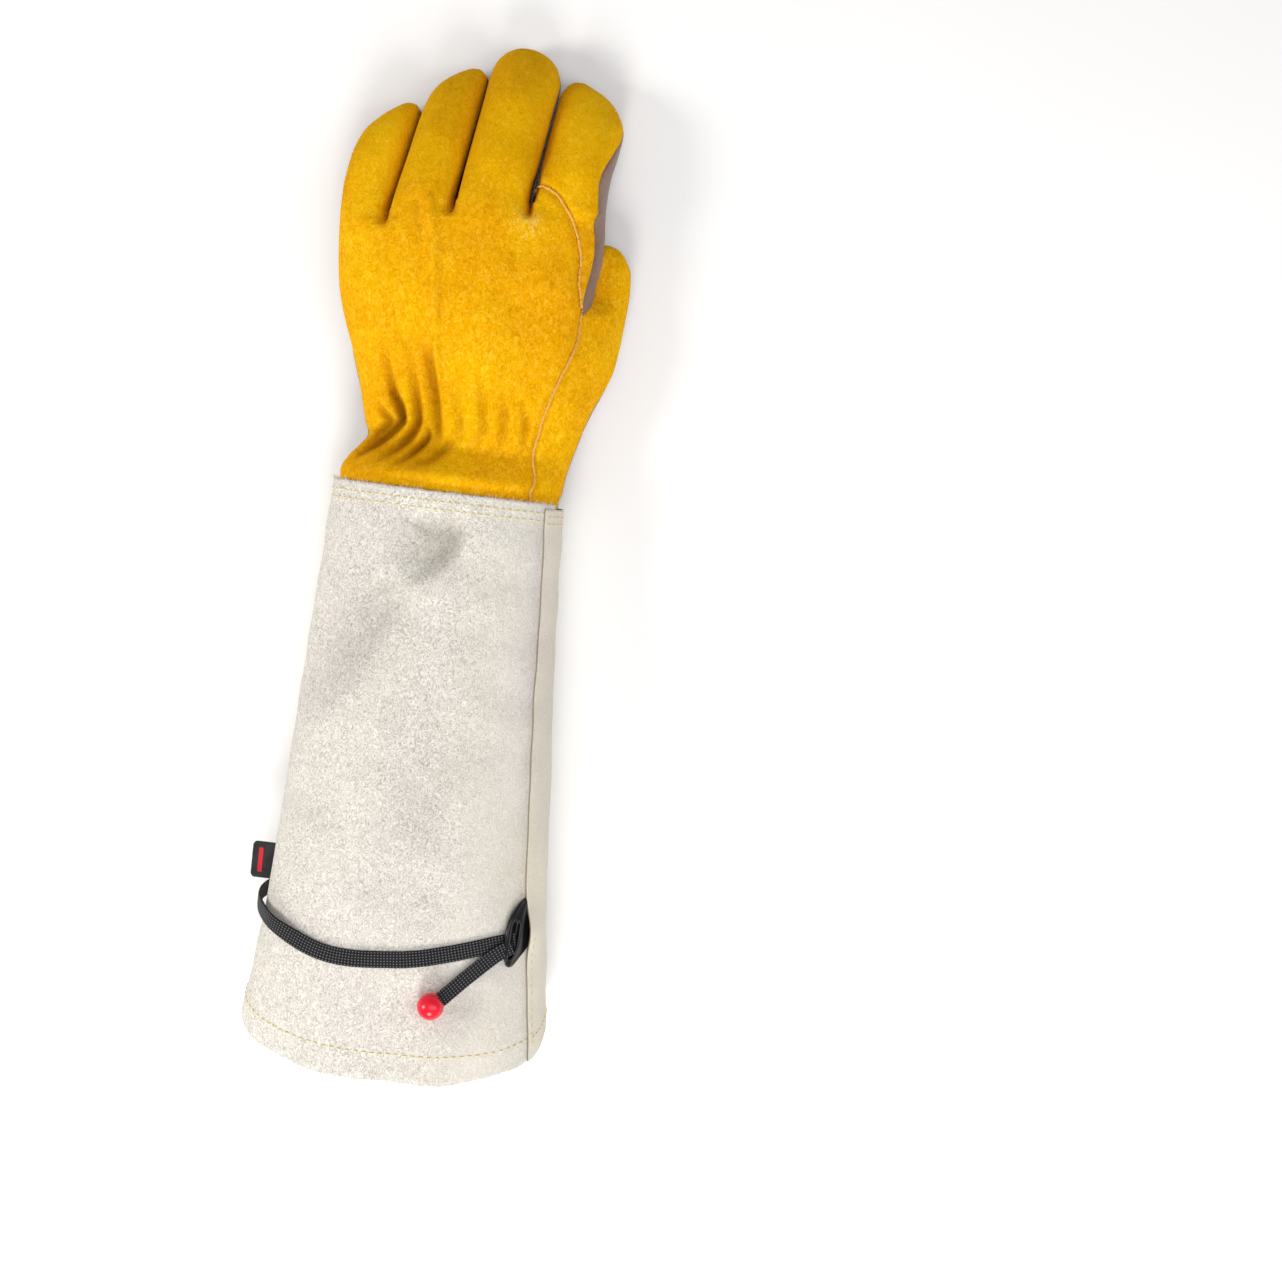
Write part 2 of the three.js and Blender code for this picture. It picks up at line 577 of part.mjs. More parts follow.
const middleIndex = slitLines.middleIndex;
const slitPoints = [
  { x: middleIndex.endX + 1.2, y: 350 },
  { x: middleIndex.endX, y: middleIndex.endY },
  { x: middleIndex.forkX + 0.2, y: 268 },
];
function indexRegion(distance) {
  return [...shiftedLine([...slitPoints, ...indexSeam.slice(1)], distance), { x: 110, y: 222 - distance },
    { x: 110, y: 350 }];
}
function wingRegion(distance) {
  return [...shiftedLine(thumbSeam, distance), { x: 110, y: 105 }, { x: 110, y: 222 + distance }];
}
const indexBack = upperLeather.intersect(prism(indexRegion(-seamGap / 2), 5, 90));
const wing = upperLeather.intersect(prism(wingRegion(-seamGap / 2), 5, 90));
const backPanel = upperLeather
  .subtract(prism(indexRegion(seamGap / 2), 5, 90))
  .subtract(prism(wingRegion(seamGap / 2), 5, 90));
const palmSkin = lowerLeather.subtract(thumbRoom.intersect(roomAboveThumbEdge));
const thumbTop = thumbShell.intersect(aboveThumbEdge);
const thumbUnder = thumbShell.intersect(belowThumbEdge);

const palmBody = palmSkin.add(thumbUnder);
const thumbPanel = wing.add(thumbTop);

// Side walls of the fingers, one U-shaped strip in each gap.
function fingerMiddle(sections, y) {
  return (interpolate(sections, 'y', y, 'left') + interpolate(sections, 'y', y, 'right')) / 2;
}
function sideWallRegion(leftFinger, rightFinger, slit, grow) {
  const leftEnd = leftFinger[leftFinger.length - 1].y - 8 + grow;
  const rightEnd = rightFinger[rightFinger.length - 1].y - 8 + grow;
  const start = slit.forkY - 8 - grow;
  const slitEndX = slit.endX + 0.1;
  const outline = [
    { x: fingerMiddle(leftFinger, start) - grow, y: start },
    { x: fingerMiddle(rightFinger, start) + grow, y: start },
    { x: fingerMiddle(rightFinger, rightEnd) + grow, y: rightEnd },
    { x: slitEndX, y: rightEnd },
    { x: slitEndX, y: leftEnd },
    { x: fingerMiddle(leftFinger, leftEnd) - grow, y: leftEnd },
  ];
  const plan = prism(outline, -10, 90);
  const floor = (x, y) => backEdgeHeight(x, y) - sideWallHeight * Math.min(1, Math.max(0.3, (344 - y) / 60));
  return plan.intersect(sheetSolid(planX, planY, (x, y) => floor(x, y) - grow, () => 90));
}
const fingerGaps = [
  ['little_ring', fingerSections.little, fingerSections.ring, slitLines.littleRing],
  ['ring_middle', fingerSections.ring, fingerSections.middle, slitLines.ringMiddle],
  ['middle_index', fingerSections.middle, fingerSections.index, slitLines.middleIndex],
];
const sideWalls = {};
let palmPanel = palmBody;
for (const [name, left, right, slit] of fingerGaps) {
  sideWalls[name] = lowerLeather.intersect(sideWallRegion(left, right, slit, 0));
  palmPanel = palmPanel.subtract(sideWallRegion(left, right, slit, seamGap));
}

// Gauntlet tube.
const cuffSkin = solidFromRings(cuffRings(0, 0, 0));
const cuffHollow = solidFromRings(cuffRings(leatherThickness, 8, -8)).simplify(insideTolerance);
const cuffShell = cuffSkin.subtract(cuffHollow);

function cuffTopHeight(x, y) {
  let sectionY = y;
  let height = 0;
  for (let i = 0; i < 12; i += 1) {
    const row = {};
    for (const column of ['left', 'right', 'top', 'side', 'bow']) {
      row[column] = interpolate(cuffSections, 'y', sectionY, column);
    }
    const half = (row.right - row.left) / 2;
    const offset = Math.min(1, Math.abs(x - (row.left + row.right) / 2) / half);
    const sine = Math.sqrt(Math.max(0, 1 - offset ** topRoundness));
    height = row.side + (row.top - row.side) * sine ** (2 / topRoundness);
    sectionY = y + row.bow * sine ** 1.2;
  }
  return height - dentDepth(x, y);
}

// Flat strip along a line. outward points away from the leather at each place.
function stripSolid(line, width, thickness) {
  const half = new THREE.Vector2(width / 2, thickness / 2);
  const corner = Math.min(0.4, thickness * 0.3);
  const outline = [
    [half.x, 0], [half.x - corner, half.y], [corner - half.x, half.y],
    [-half.x, 0], [corner - half.x, -half.y], [half.x - corner, -half.y],
  ];
  const rings = line.map((p, i) => {
    const before = line[Math.max(0, i - 1)].point;
    const after = line[Math.min(line.length - 1, i + 1)].point;
    const along = new THREE.Vector3().subVectors(after, before).normalize();
    const across = new THREE.Vector3().crossVectors(along, p.outward).normalize();
    const up = new THREE.Vector3().crossVectors(across, along).normalize();
    return outline.map(([a, b]) => p.point.clone().addScaledVector(across, a).addScaledVector(up, b));
  });
  return solidFromRings(rings);
}
function smoothLine(line, pieces) {
  const points = new THREE.CatmullRomCurve3(line.map((p) => p.point), false, 'centripetal');
  const normals = new THREE.CatmullRomCurve3(line.map((p) => p.outward), false, 'centripetal');
  const result = [];
  for (let i = 0; i <= pieces; i += 1) {
    const t = i / pieces;
    result.push({ point: points.getPoint(t), outward: normals.getPoint(t).normalize() });
  }
  return result;
}
function onCuff(p, extra) {
  const step = 1.5;
  const slopeX = (cuffTopHeight(p.x + step, p.y) - cuffTopHeight(p.x - step, p.y)) / (2 * step);
  const slopeY = (cuffTopHeight(p.x, p.y + step) - cuffTopHeight(p.x, p.y - step)) / (2 * step);
  const outward = new THREE.Vector3(-slopeX, -slopeY, 1).normalize();
  const point = new THREE.Vector3(p.x, p.y, cuffTopHeight(p.x, p.y));
  return { point: point.addScaledVector(outward, pieceGap + strapThickness / 2 + extra + p.lift), outward };
}
const strapCentre = new THREE.Vector3(0, -80, 34);
const strapLine = smoothLine([
  ...strapOver.map((p) => onCuff(p, 0.25)),
  ...strapAround.map((p) => {
    const point = new THREE.Vector3(p.x, p.y, p.z);
    const outward = new THREE.Vector3(p.x * 0.72, 0, p.z - strapCentre.z).normalize();
    return { point, outward: p.z < 3 ? new THREE.Vector3(0, 0, -1) : outward };
  }),
], 46);
const tailRun = smoothLine(tailLine.map((p) => onCuff(p, 0.25)), 12);
const strapBand = stripSolid(strapLine, strapWidth, strapThickness);
const strapRoom = stripSolid(strapLine, strapWidth + 2 * pieceGap, strapThickness + 2 * pieceGap);
const tailRoom = stripSolid(tailRun, strapWidth - 0.6 + 2 * pieceGap, strapThickness + 2 * pieceGap);
const tailBand = stripSolid(tailRun, strapWidth - 0.6, strapThickness).subtract(strapRoom);

const bandPlan = (distance) => [
  ...shiftedLine(bandLine, distance).map((p) => ({ x: p.x, y: p.y })),
  { x: 120, y: -160 },
  { x: 120, y: 140 },
];
const sideBand = cuffShell.intersect(prism(bandPlan(-seamGap / 2), -10, 120)).subtract(strapRoom);
const cuffPanel = cuffShell.subtract(prism(bandPlan(seamGap / 2), -10, 120)).subtract(strapRoom);

// Slider buckle: a curved plate lying on the leather beside the band seam, with one slot.
const buckleProfile = [[0.05, 0.2], [0.05, 0.7], [0.3, 0.98], [0.6, 1], [0.85, 0.72], [1, 0.3]];
const buckleRings = buckleOutline.map((row) => {
  const edge = interpolate(bandLine, 'y', row.y, 'x') - 0.5;
  const top = buckleProfile.map(([across, height]) => {
    const x = edge - row.reach * across;
    return new THREE.Vector3(x, row.y, cuffTopHeight(x, row.y) + pieceGap + 0.15 + row.rise * height);
  });
  const under = [1, 0.5, 0.05].map((across) => {
    const x = edge - row.reach * across;
    return new THREE.Vector3(x, row.y, cuffTopHeight(x, row.y) + pieceGap + 0.15);
  });
  return [...top, ...under];
});
const slotPlan = [
  [buckleSlot.from, buckleSlot.fromY - 1.5], [buckleSlot.from + 0.8, buckleSlot.fromY],
  [buckleSlot.to - 0.8, buckleSlot.fromY], [buckleSlot.to, buckleSlot.fromY - 1.5],
  [buckleSlot.to, buckleSlot.toY + 1.5], [buckleSlot.to - 0.8, buckleSlot.toY],
  [buckleSlot.from + 0.8, buckleSlot.toY], [buckleSlot.from, buckleSlot.toY + 1.5],
].map(([across, y]) => ({ x: interpolate(bandLine, 'y', y, 'x') - 0.5 - across, y }));
const buckle = solidFromRings(buckleRings)
  .subtract(prism(slotPlan, 20, 120))
  .subtract(strapRoom)
  .subtract(tailRoom);

const ballLift = ballRadius - strapThickness / 2;
const ballCentre = onCuff({ x: ballCentreX, y: ballCentreY, lift: 0 }, ballLift).point;
const ballGeometry = new THREE.SphereGeometry(ballRadius, 16, 10);
ballGeometry.rotateX(Math.PI / 2);
ballGeometry.translate(ballCentre.x, ballCentre.y, ballCentre.z);
const ball = solidFromGeometry(ballGeometry).subtract(tailRoom);

const tabShape = new THREE.Shape();
tabShape.moveTo(labelTab.right, labelTab.front);
tabShape.lineTo(labelTab.right + 0.7, labelTab.back);
tabShape.lineTo(labelTab.left + labelTab.corner, labelTab.back);
tabShape.quadraticCurveTo(labelTab.left, labelTab.back, labelTab.left, labelTab.back - labelTab.corner);
tabShape.lineTo(labelTab.left, labelTab.front + labelTab.corner);
tabShape.quadraticCurveTo(labelTab.left, labelTab.front, labelTab.left + labelTab.corner, labelTab.front);
tabShape.closePath();
const tabGeometry = new THREE.ExtrudeGeometry(tabShape, {
  depth: tabThickness,
  bevelEnabled: false,
  curveSegments: 5,
});
tabGeometry.translate(0, 0, labelTab.height - tabThickness / 2);
const tab = solidFromGeometry(tabGeometry);

const group = new THREE.Group();
group.name = 'gauntlet_glove';

function addPiece(name, solid, colour, roughness) {
  const body = solid.decompose().sort((a, b) => b.volume() - a.volume())[0];
  const mesh = body.simplify(0.13).getMesh();
  const geometry = new THREE.BufferGeometry();
  geometry.setAttribute('position', new THREE.BufferAttribute(new Float32Array(mesh.vertProperties), 3));
  geometry.setIndex(new THREE.BufferAttribute(new Uint32Array(mesh.triVerts), 1));
  geometry.computeVertexNormals();
  const piece = new THREE.Mesh(geometry, new THREE.MeshStandardMaterial({ color: colour, roughness }));
  piece.name = name;
  group.add(piece);
}

addPiece('back_panel', backPanel, 0xf0a800, 0.95);
addPiece('index_back', indexBack, 0xf2ac08, 0.95);
addPiece('thumb_panel', thumbPanel, 0xf0a800, 0.95);
addPiece('palm_panel', palmPanel, 0x7d6152, 0.85);
addPiece('sidewall_little_ring', sideWalls.little_ring, 0x7d6152, 0.85);
addPiece('sidewall_ring_middle', sideWalls.ring_middle, 0x7d6152, 0.85);
addPiece('sidewall_middle_index', sideWalls.middle_index, 0x7d6152, 0.85);
addPiece('cuff_panel', cuffPanel, 0xdcd4ca, 0.95);
addPiece('cuff_side_band', sideBand, 0xd8d2c4, 0.95);
addPiece('strap', strapBand, 0x333335, 0.9);
addPiece('strap_tail', tailBand, 0x333335, 0.9);
addPiece('buckle', buckle, 0x151517, 0.35);
addPiece('ball', ball, 0xe8112d, 0.3);
addPiece('label_tab', tab, 0x1c1c1e, 0.6);

export default group;
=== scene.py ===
# Long leather gardening gauntlet: the visible model, in metres in the part's own frame.
# Shapes are worked out in millimetres from short tables and scaled once, where each mesh is made.
import math
import bmesh
import bpy
import numpy as np
from mathutils import Matrix


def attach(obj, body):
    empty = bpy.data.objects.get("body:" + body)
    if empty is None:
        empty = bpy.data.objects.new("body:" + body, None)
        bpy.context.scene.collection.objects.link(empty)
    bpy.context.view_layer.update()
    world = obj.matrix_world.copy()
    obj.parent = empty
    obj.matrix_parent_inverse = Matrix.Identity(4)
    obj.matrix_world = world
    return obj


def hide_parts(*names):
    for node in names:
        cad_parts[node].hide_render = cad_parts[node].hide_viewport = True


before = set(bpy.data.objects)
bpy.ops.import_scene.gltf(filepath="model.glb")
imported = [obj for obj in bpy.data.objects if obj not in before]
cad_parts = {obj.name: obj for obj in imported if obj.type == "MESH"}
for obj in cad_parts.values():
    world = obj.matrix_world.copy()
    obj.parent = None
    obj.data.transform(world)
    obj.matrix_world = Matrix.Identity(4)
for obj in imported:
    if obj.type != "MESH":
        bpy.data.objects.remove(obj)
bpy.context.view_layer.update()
print("stage: frame loaded")

# Millimetres to metres, and how square the upper and lower halves of every section are.
mm = 0.001
topRound = 2.35
bottomRound = 3.2
rng = np.random.default_rng(7)

# Camera above the glove: place, turn and lean in degrees, lens in millimetres.
cameraSettings = {
    "place": (89.6, 146.9, 750.0),
    "turn": 7.0,
    "lean": 6.2,
    "lens": 42.12,
}
# Area lamps: place and size, power in watts and colour, all turned to one point of the glove.
lamps = {
    "left": {"place": (-900, -60, 700), "size": 0.4, "power": 6.3, "colour": "#fffaf4"},
    "hem": {"place": (60, -920, 800), "size": 0.5, "power": 8.3, "colour": "#fffcf8"},
    "front": {"place": (300, 150, 1250), "size": 1.0, "power": 4.8, "colour": "#fafbff"},
    "right": {"place": (760, 40, 800), "size": 0.6, "power": 2.1, "colour": "#fffdfa"},
}
lightTarget = (0.0, 100.0, 0.0)
surroundingLight = 0.30


def toLinear(code):
    # An sRGB hex colour made linear: each channel's curve undone, fully opaque.
    values = [int(code[i:i + 2], 16) / 255 for i in (1, 3, 5)]
    return tuple(v / 12.92 if v <= 0.04045 else ((v + 0.055) / 1.055) ** 2.4 for v in values) + (1.0,)


def placeThing(thing, side, up, back, place):
    # Columns of the matrix are the thing's own axes, then its place in millimetres.
    rows = np.eye(4)
    rows[:3, :4] = np.column_stack([side, up, back, np.array(place) * mm])
    thing.matrix_world = Matrix(rows.tolist())


def makeCamera():
    # Looks down on the glove, turned about the upright and leaned back from the hem.
    turn = math.radians(cameraSettings["turn"])
    lean = math.radians(cameraSettings["lean"])
    right = np.array([math.cos(turn), math.sin(turn), 0.0])
    forward = np.array([math.sin(turn) * math.sin(lean), -math.cos(turn) * math.sin(lean), -math.cos(lean)])
    data = bpy.data.cameras.new("camera")
    data.lens = cameraSettings["lens"]
    data.sensor_width = 36.0
    data.clip_start = 0.01
    camera = bpy.data.objects.new("camera", data)
    bpy.context.scene.collection.objects.link(camera)
    placeThing(camera, right, np.cross(right, forward), -forward, cameraSettings["place"])
    bpy.context.scene.camera = camera


def makeLights():
    # Soft round lamps, each facing the middle of the glove, in an even pale surrounding.
    for name, settings in lamps.items():
        data = bpy.data.lights.new(name, "AREA")
        data.shape = "DISK"
        data.size = settings["size"]
        data.energy = settings["power"]
        data.color = toLinear(settings["colour"])[:3]
        lamp = bpy.data.objects.new(name, data)
        bpy.context.scene.collection.objects.link(lamp)
        toward = unit((np.array(lightTarget) - settings["place"]) * mm)
        side = unit(np.cross(toward, [0, 0, 1.0]))
        placeThing(lamp, side, np.cross(side, toward), -toward, settings["place"])
    world = bpy.data.worlds.new("studio")
    world.use_nodes = True
    world.node_tree.nodes["Background"].inputs["Color"].default_value = toLinear("#ffffff")
    world.node_tree.nodes["Background"].inputs["Strength"].default_value = surroundingLight
    bpy.context.scene.world = world
    bpy.context.scene.view_settings.view_transform = "Standard"


def addNode(material, kind, links=None, **values):
    # A node with its settings; each input is joined to a socket or set to a value.
    node = material.node_tree.nodes.new(kind)
    for name, value in values.items():
        setattr(node, name, value)
    for socket, source in (links or {}).items():
        target = node.inputs[socket]
        if isinstance(source, bpy.types.NodeSocket):
            material.node_tree.links.new(source, target)
        else:
            target.default_value = source
    return node


def startMaterial(name, surface):
    # Principled surface with these constants, and the piece's own coordinates for its patterns.
    material = bpy.data.materials.new(name)
    material.use_nodes = True
    for socket, value in surface.items():
        material.node_tree.nodes["Principled BSDF"].inputs[socket].default_value = value
    return material, addNode(material, "ShaderNodeTexCoord").outputs["Object"]


def makePatterns(material, place, *sizes):
    # Noises over the coordinates: size in millimetres, detail, stretch, roughness and distortion. What an
    # entry leaves out is filled up from the end of the usual values.
    patterns = []
    for entry in sizes:
        size, detail, stretch, roughness, distortion = entry + (3.0, (1, 1, 1), 0.5, 0.0)[len(entry) - 1:]
        scaled = addNode(material, "ShaderNodeMapping", {"Vector": place, "Scale": stretch}).outputs["Vector"]
        patterns.append(addNode(material, "ShaderNodeTexNoise", {
            "Vector": scaled, "Scale": 1000.0 / size, "Detail": detail, "Roughness": roughness,
            "Distortion": distortion,
        }).outputs["Fac"])
    return patterns


def layColours(material, *layers):
    # Each layer's share is mixed over the ones below it. A layer is one colour, or a pattern with the two
    # levels between which its colours are spread; "MULTIPLY" after it darkens instead.
    below = None
    for share, source, *blend in layers:
        if isinstance(source, str):
            source = toLinear(source)
        if isinstance(source, tuple) and len(source) == 4 and isinstance(source[3], tuple):
            pattern, low, high, colours = source
            ramp = addNode(material, "ShaderNodeValToRGB", {"Fac": pattern})
            elements = ramp.color_ramp.elements
            for _ in colours[2:]:
                elements.new(0.5)
            for i, colour in enumerate(colours):
                elements[i].position = low + (high - low) * i / (len(colours) - 1)
                elements[i].color = toLinear(colour)
            source = ramp.outputs["Color"]
        below = source if below is None else addNode(
            material, "ShaderNodeMix", {0: share, 6: below, 7: source}, data_type="RGBA",
            blend_type=blend[0] if blend else "MIX").outputs[2]
    return below


def finishMaterial(material, colour, *bumps):
    # The bumps are stacked on each other: pattern, strength, height in millimetres.
    shader = material.node_tree.nodes["Principled BSDF"]
    material.node_tree.links.new(colour, shader.inputs["Base Color"])
    links = {}
    for height, strength, distance in bumps:
        bump = addNode(material, "ShaderNodeBump", {
            "Height": height, "Strength": strength, "Distance": distance * mm, **links,
        })
        links = {"Normal": bump.outputs["Normal"]}
    if links:
        material.node_tree.links.new(links["Normal"], shader.inputs["Normal"])
    return material


suede = {
    "patches": ("#ea9200", "#f7ac00", "#ffc800"),
    "mottle": ("#d09000", "#f2af00", "#ffcb0c"),
    "flecks": ("#aa7800", "#f0ae02", "#ffdc48"),
    "fingers": ("#d39c00", "#e3ad00", "#efba0c"),
    # Painted shade: the darker colour laid over the hollow of the wrist.
    "wristShade": "#c48a00",
    # Painted shade with some grime: the grey multiplied into the creases.
    "creaseShadeAndGrimeTone": "#b2a498",
    "patchSize": 30.0,
    "mottleSize": 5.0,
    "fleckSize": 1.7,
    "napSize": 0.8,
    "scuff": (24.0, 256.0, 48.5),
}


def makeSuede(name):
    # Split cowhide, dyed yellow and brushed: a dull nap that lies in flecks, smoother and a little darker on
    # the fingers, painted shade in the hollow of the wrist, painted shade with some grime in its creases,
    # rubbed pale beside the index finger.
    material, place = startMaterial(name, {
        "Roughness": 0.95, "Sheen Weight": 0.1, "Sheen Roughness": 0.5, "Sheen Tint": toLinear("#ffc630"),
        "Specular IOR Level": 0.04,
    })
    broad, middle, fleck, nap = makePatterns(
        material, place,
        (suede["patchSize"], 4.0, (1, 0.7, 1)),
        (suede["mottleSize"], 5.0, (1, 0.8, 1), 0.68),
        (suede["fleckSize"], 4.0, (1, 0.7, 1), 0.72, 1.2),
        (suede["napSize"], 4.0, (1, 0.55, 1), 0.75, 0.8))
    along = addNode(material, "ShaderNodeSeparateXYZ", {"Vector": place}).outputs["Y"]
    onFingers = addNode(material, "ShaderNodeMapRange", {
        "Value": along, "From Min": 0.240, "From Max": 0.285, "To Min": 0.0, "To Max": 0.72,
    }, interpolation_type="SMOOTHSTEP").outputs["Result"]
    calm = layColours(material, (1, (broad, 0.34, 0.66, suede["fingers"])),
                      (0.22, (fleck, 0.3, 0.7, suede["flecks"])))
    # Painted shade: darker within about 31 mm of the wrist's hollow, near x -20 and y 147, up to half way to
    # the shade colour.
    wristShadeMask = addNode(material, "ShaderNodeMapping", {
        "Vector": place, "Location": (0.009, -0.066, 0), "Scale": (0.45, 0.45, 0),
    }).outputs["Vector"]
    wristShadeMask = addNode(material, "ShaderNodeVectorMath", {0: wristShadeMask}, operation="LENGTH").outputs["Value"]
    wristShadeMask = addNode(material, "ShaderNodeMapRange", {
        "Value": wristShadeMask, "From Min": 0.0, "From Max": 0.014, "To Min": 0.5, "To Max": 0.0,
    }, interpolation_type="SMOOTHSTEP").outputs["Result"]
    # Painted shade with some grime: the stored crease depth darkens the colour towards a grey.
    creaseShadeAndGrime = addNode(material, "ShaderNodeAttribute", attribute_name="creaseShadeAndGrime").outputs["Fac"]
    away = addNode(material, "ShaderNodeVectorMath", {
        0: place, 1: tuple(v * mm for v in suede["scuff"]),
    }, operation="DISTANCE").outputs["Value"]
    worn = addNode(material, "ShaderNodeMapRange", {
        "Value": away, "From Min": 0.002, "From Max": 0.009, "To Min": 0.55, "To Max": 0.0,
    }).outputs["Result"]
    onFlecks = layColours(material, (1, (fleck, 0.5, 0.62, ("#000000", "#ffffff"))))
    worn = addNode(material, "ShaderNodeMath", {0: worn, 1: onFlecks}, operation="MULTIPLY").outputs["Value"]
    colour = layColours(
        material, (1, (broad, 0.34, 0.66, suede["patches"])), (0.42, (middle, 0.32, 0.70, suede["mottle"])),
        (0.42, (fleck, 0.34, 0.66, suede["flecks"])), (onFingers, calm), (wristShadeMask, suede["wristShade"]),
        (creaseShadeAndGrime, suede["creaseShadeAndGrimeTone"], "MULTIPLY"), (worn, "#e9cf97"))
    return finishMaterial(material, colour, (middle, 0.6, 1.2), (fleck, 0.8, 0.6), (nap, 0.6, 0.28))


def makeBrownLeather():
    # Matt grain leather of the palm: fine creases over a cool brown.
    material, place = startMaterial("brown_grain_leather", {
        "Roughness": 0.72, "Specular IOR Level": 0.3, "Sheen Weight": 0.15,
    })
    broad, grain = makePatterns(material, place, (22.0, 4.0), (1.1, 4.0, (1, 0.7, 1), 0.6))
    cells = addNode(material, "ShaderNodeTexVoronoi", {
        "Vector": place, "Scale": 1000.0 / 1.3,
    }).outputs["Distance"]
    colour = layColours(material, (1, (broad, 0.3, 0.7, ("#745a4c", "#876a5a", "#957767"))),
                        (0.35, (grain, 0.3, 0.7, ("#5b463c", "#94786a"))))
    return finishMaterial(material, colour, (grain, 0.5, 0.25), (cells, 0.35, 0.2))


splitLeather = {
    "base": ("#cfcbc4", "#dfdbd3", "#eeeae2"),
    "stains": ("#e0d4d0", "#e6e0d6", "#ece3cd"),
    "fibres": ("#918e88", "#dcd7ce", "#fffdf6"),
    # Painted shade with some grime: the grey multiplied into the dents.
    "creaseShadeAndGrimeTone": "#d8d7d6",
    "fibreSize": 2.0,
    "smoothFrom": 12.0,
    "smoothTo": 46.0,
}


def makeSplitLeather(name, tint, fibreShare):
    # Undyed split cowhide, left raw: curled fibres, painted grey shade with some grime in the dents, calmer
    # towards the thumb side.
    material, place = startMaterial(name, {
        "Roughness": 0.92, "Specular IOR Level": 0.15, "Sheen Weight": 0.12, "Sheen Roughness": 0.6,
    })
    broad, warm, twist, fine = makePatterns(
        material, place, (42.0, 4.0, (1, 0.6, 1)), (65.0, 3.0, (1, 0.5, 1)),
        (splitLeather["fibreSize"], 4.0, (1, 0.8, 1), 0.7, 2.4), (0.9, 3.0, (1, 1, 1), 0.7, 1.0))
    across = addNode(material, "ShaderNodeSeparateXYZ", {"Vector": place}).outputs["X"]
    share = addNode(material, "ShaderNodeMapRange", {
        "Value": across, "To Min": fibreShare, "To Max": fibreShare * 0.4,
        "From Min": splitLeather["smoothFrom"] * mm, "From Max": splitLeather["smoothTo"] * mm,
    }, interpolation_type="SMOOTHSTEP").outputs["Result"]
    # Painted shade with some grime: the stored dent depth darkens the colour towards a grey.
    creaseShadeAndGrime = addNode(material, "ShaderNodeAttribute", attribute_name="creaseShadeAndGrime").outputs["Fac"]
    colour = layColours(
        material, (1, (broad, 0.3, 0.7, splitLeather["base"])),
        (0.5, (warm, 0.36, 0.64, splitLeather["stains"])),
        (share, (twist, 0.36, 0.63, splitLeather["fibres"])), (1.0, tint, "MULTIPLY"),
        (creaseShadeAndGrime, splitLeather["creaseShadeAndGrimeTone"], "MULTIPLY"))
    return finishMaterial(material, colour, (broad, 0.3, 1.6), (twist, 0.85, 0.7), (fine, 0.5, 0.25))


def makeWebbing():
    # Woven polyester tape: ribs across and rows along, from its own coordinates in millimetres.
    material, _ = startMaterial("charcoal_webbing", {
        "Roughness": 0.8, "Sheen Weight": 0.05, "Specular IOR Level": 0.2,
    })
    weave = addNode(material, "ShaderNodeUVMap", uv_map="weave").outputs["UV"]
    ribs, rows = (
        addNode(material, "ShaderNodeTexWave", {
            "Vector": weave, "Scale": scale, "Distortion": distortion, "Detail": 1.0,
        }, bands_direction=direction).outputs["Fac"]
        for scale, distortion, direction in ((0.21, 0.9, "X"), (0.24, 0.5, "Y")))
    both = addNode(material, "ShaderNodeMath", {0: ribs, 1: rows}, operation="MULTIPLY").outputs["Value"]
    colour = layColours(material, (1, (both, 0.05, 0.8, ("#121214", "#2a2a2d", "#6c6c70"))))
    return finishMaterial(material, colour, (both, 0.8, 0.25))


def makeMoulded(name, dark, light, roughness, coat):
    # Moulded plastic or rubber with faint flow marks and handling wear.
    material, place = startMaterial(name, {
        "Roughness": roughness, "Specular IOR Level": 0.3, "Coat Weight": coat, "Coat Roughness": 0.12,
    })
    flow, fine = makePatterns(material, place, (6.0, 4.0), (0.7,))
    colour = layColours(material, (1, (flow, 0.35, 0.65, (dark, light))))
    return finishMaterial(material, colour, (flow, 0.12, 0.4), (fine, 0.12, 0.05))


def makeThread(name, dark, light):
    # Twisted sewing thread or a raw edge: a short irregular twist between two tones.
    material, place = startMaterial(name, {
        "Roughness": 0.75, "Specular IOR Level": 0.2, "Sheen Weight": 0.05,
    })
    twist, = makePatterns(material, place, (0.35, 2.0, (1, 2.2, 1)))
    colour = layColours(material, (1, (twist, 0.3, 0.7, (dark, light))))
    return finishMaterial(material, colour, (twist, 0.5, 0.1))


def makeFloor():
    # Plain painted board, a hair off white in broad clouds.
    material, place = startMaterial("pale_floor", {"Roughness": 0.9})
    tone, = makePatterns(material, place, (300.0, 2.0))
    return finishMaterial(material, layColours(material, (1, (tone, 0.3, 0.7, ("#fbfbfb", "#ffffff")))))


def gridFaces(rows, columns, closed=False, base=0):
    # Four-sided faces between neighbouring rows and columns, numbered row by row from a base; a closed
    # grid's last column is joined to its first.
    a = base + np.arange(rows - 1)[:, None] * columns + np.arange(columns if closed else columns - 1)[None, :]
    b = a + 1
    if closed:
        b[:, -1] -= columns
    return np.stack([a, b, b + columns, a + columns], axis=-1).reshape(-1, 4)


def joinGrids(grids):
    # All the grids' points in one list, with each grid's faces counted on from its first point.
    bases = np.cumsum([0] + [grid.shape[0] * grid.shape[1] for grid in grids])
    faces = [gridFaces(*grid.shape[:2], base=base) for grid, base in zip(grids, bases)]
    return np.vstack([grid.reshape(-1, 3) for grid in grids]), faces


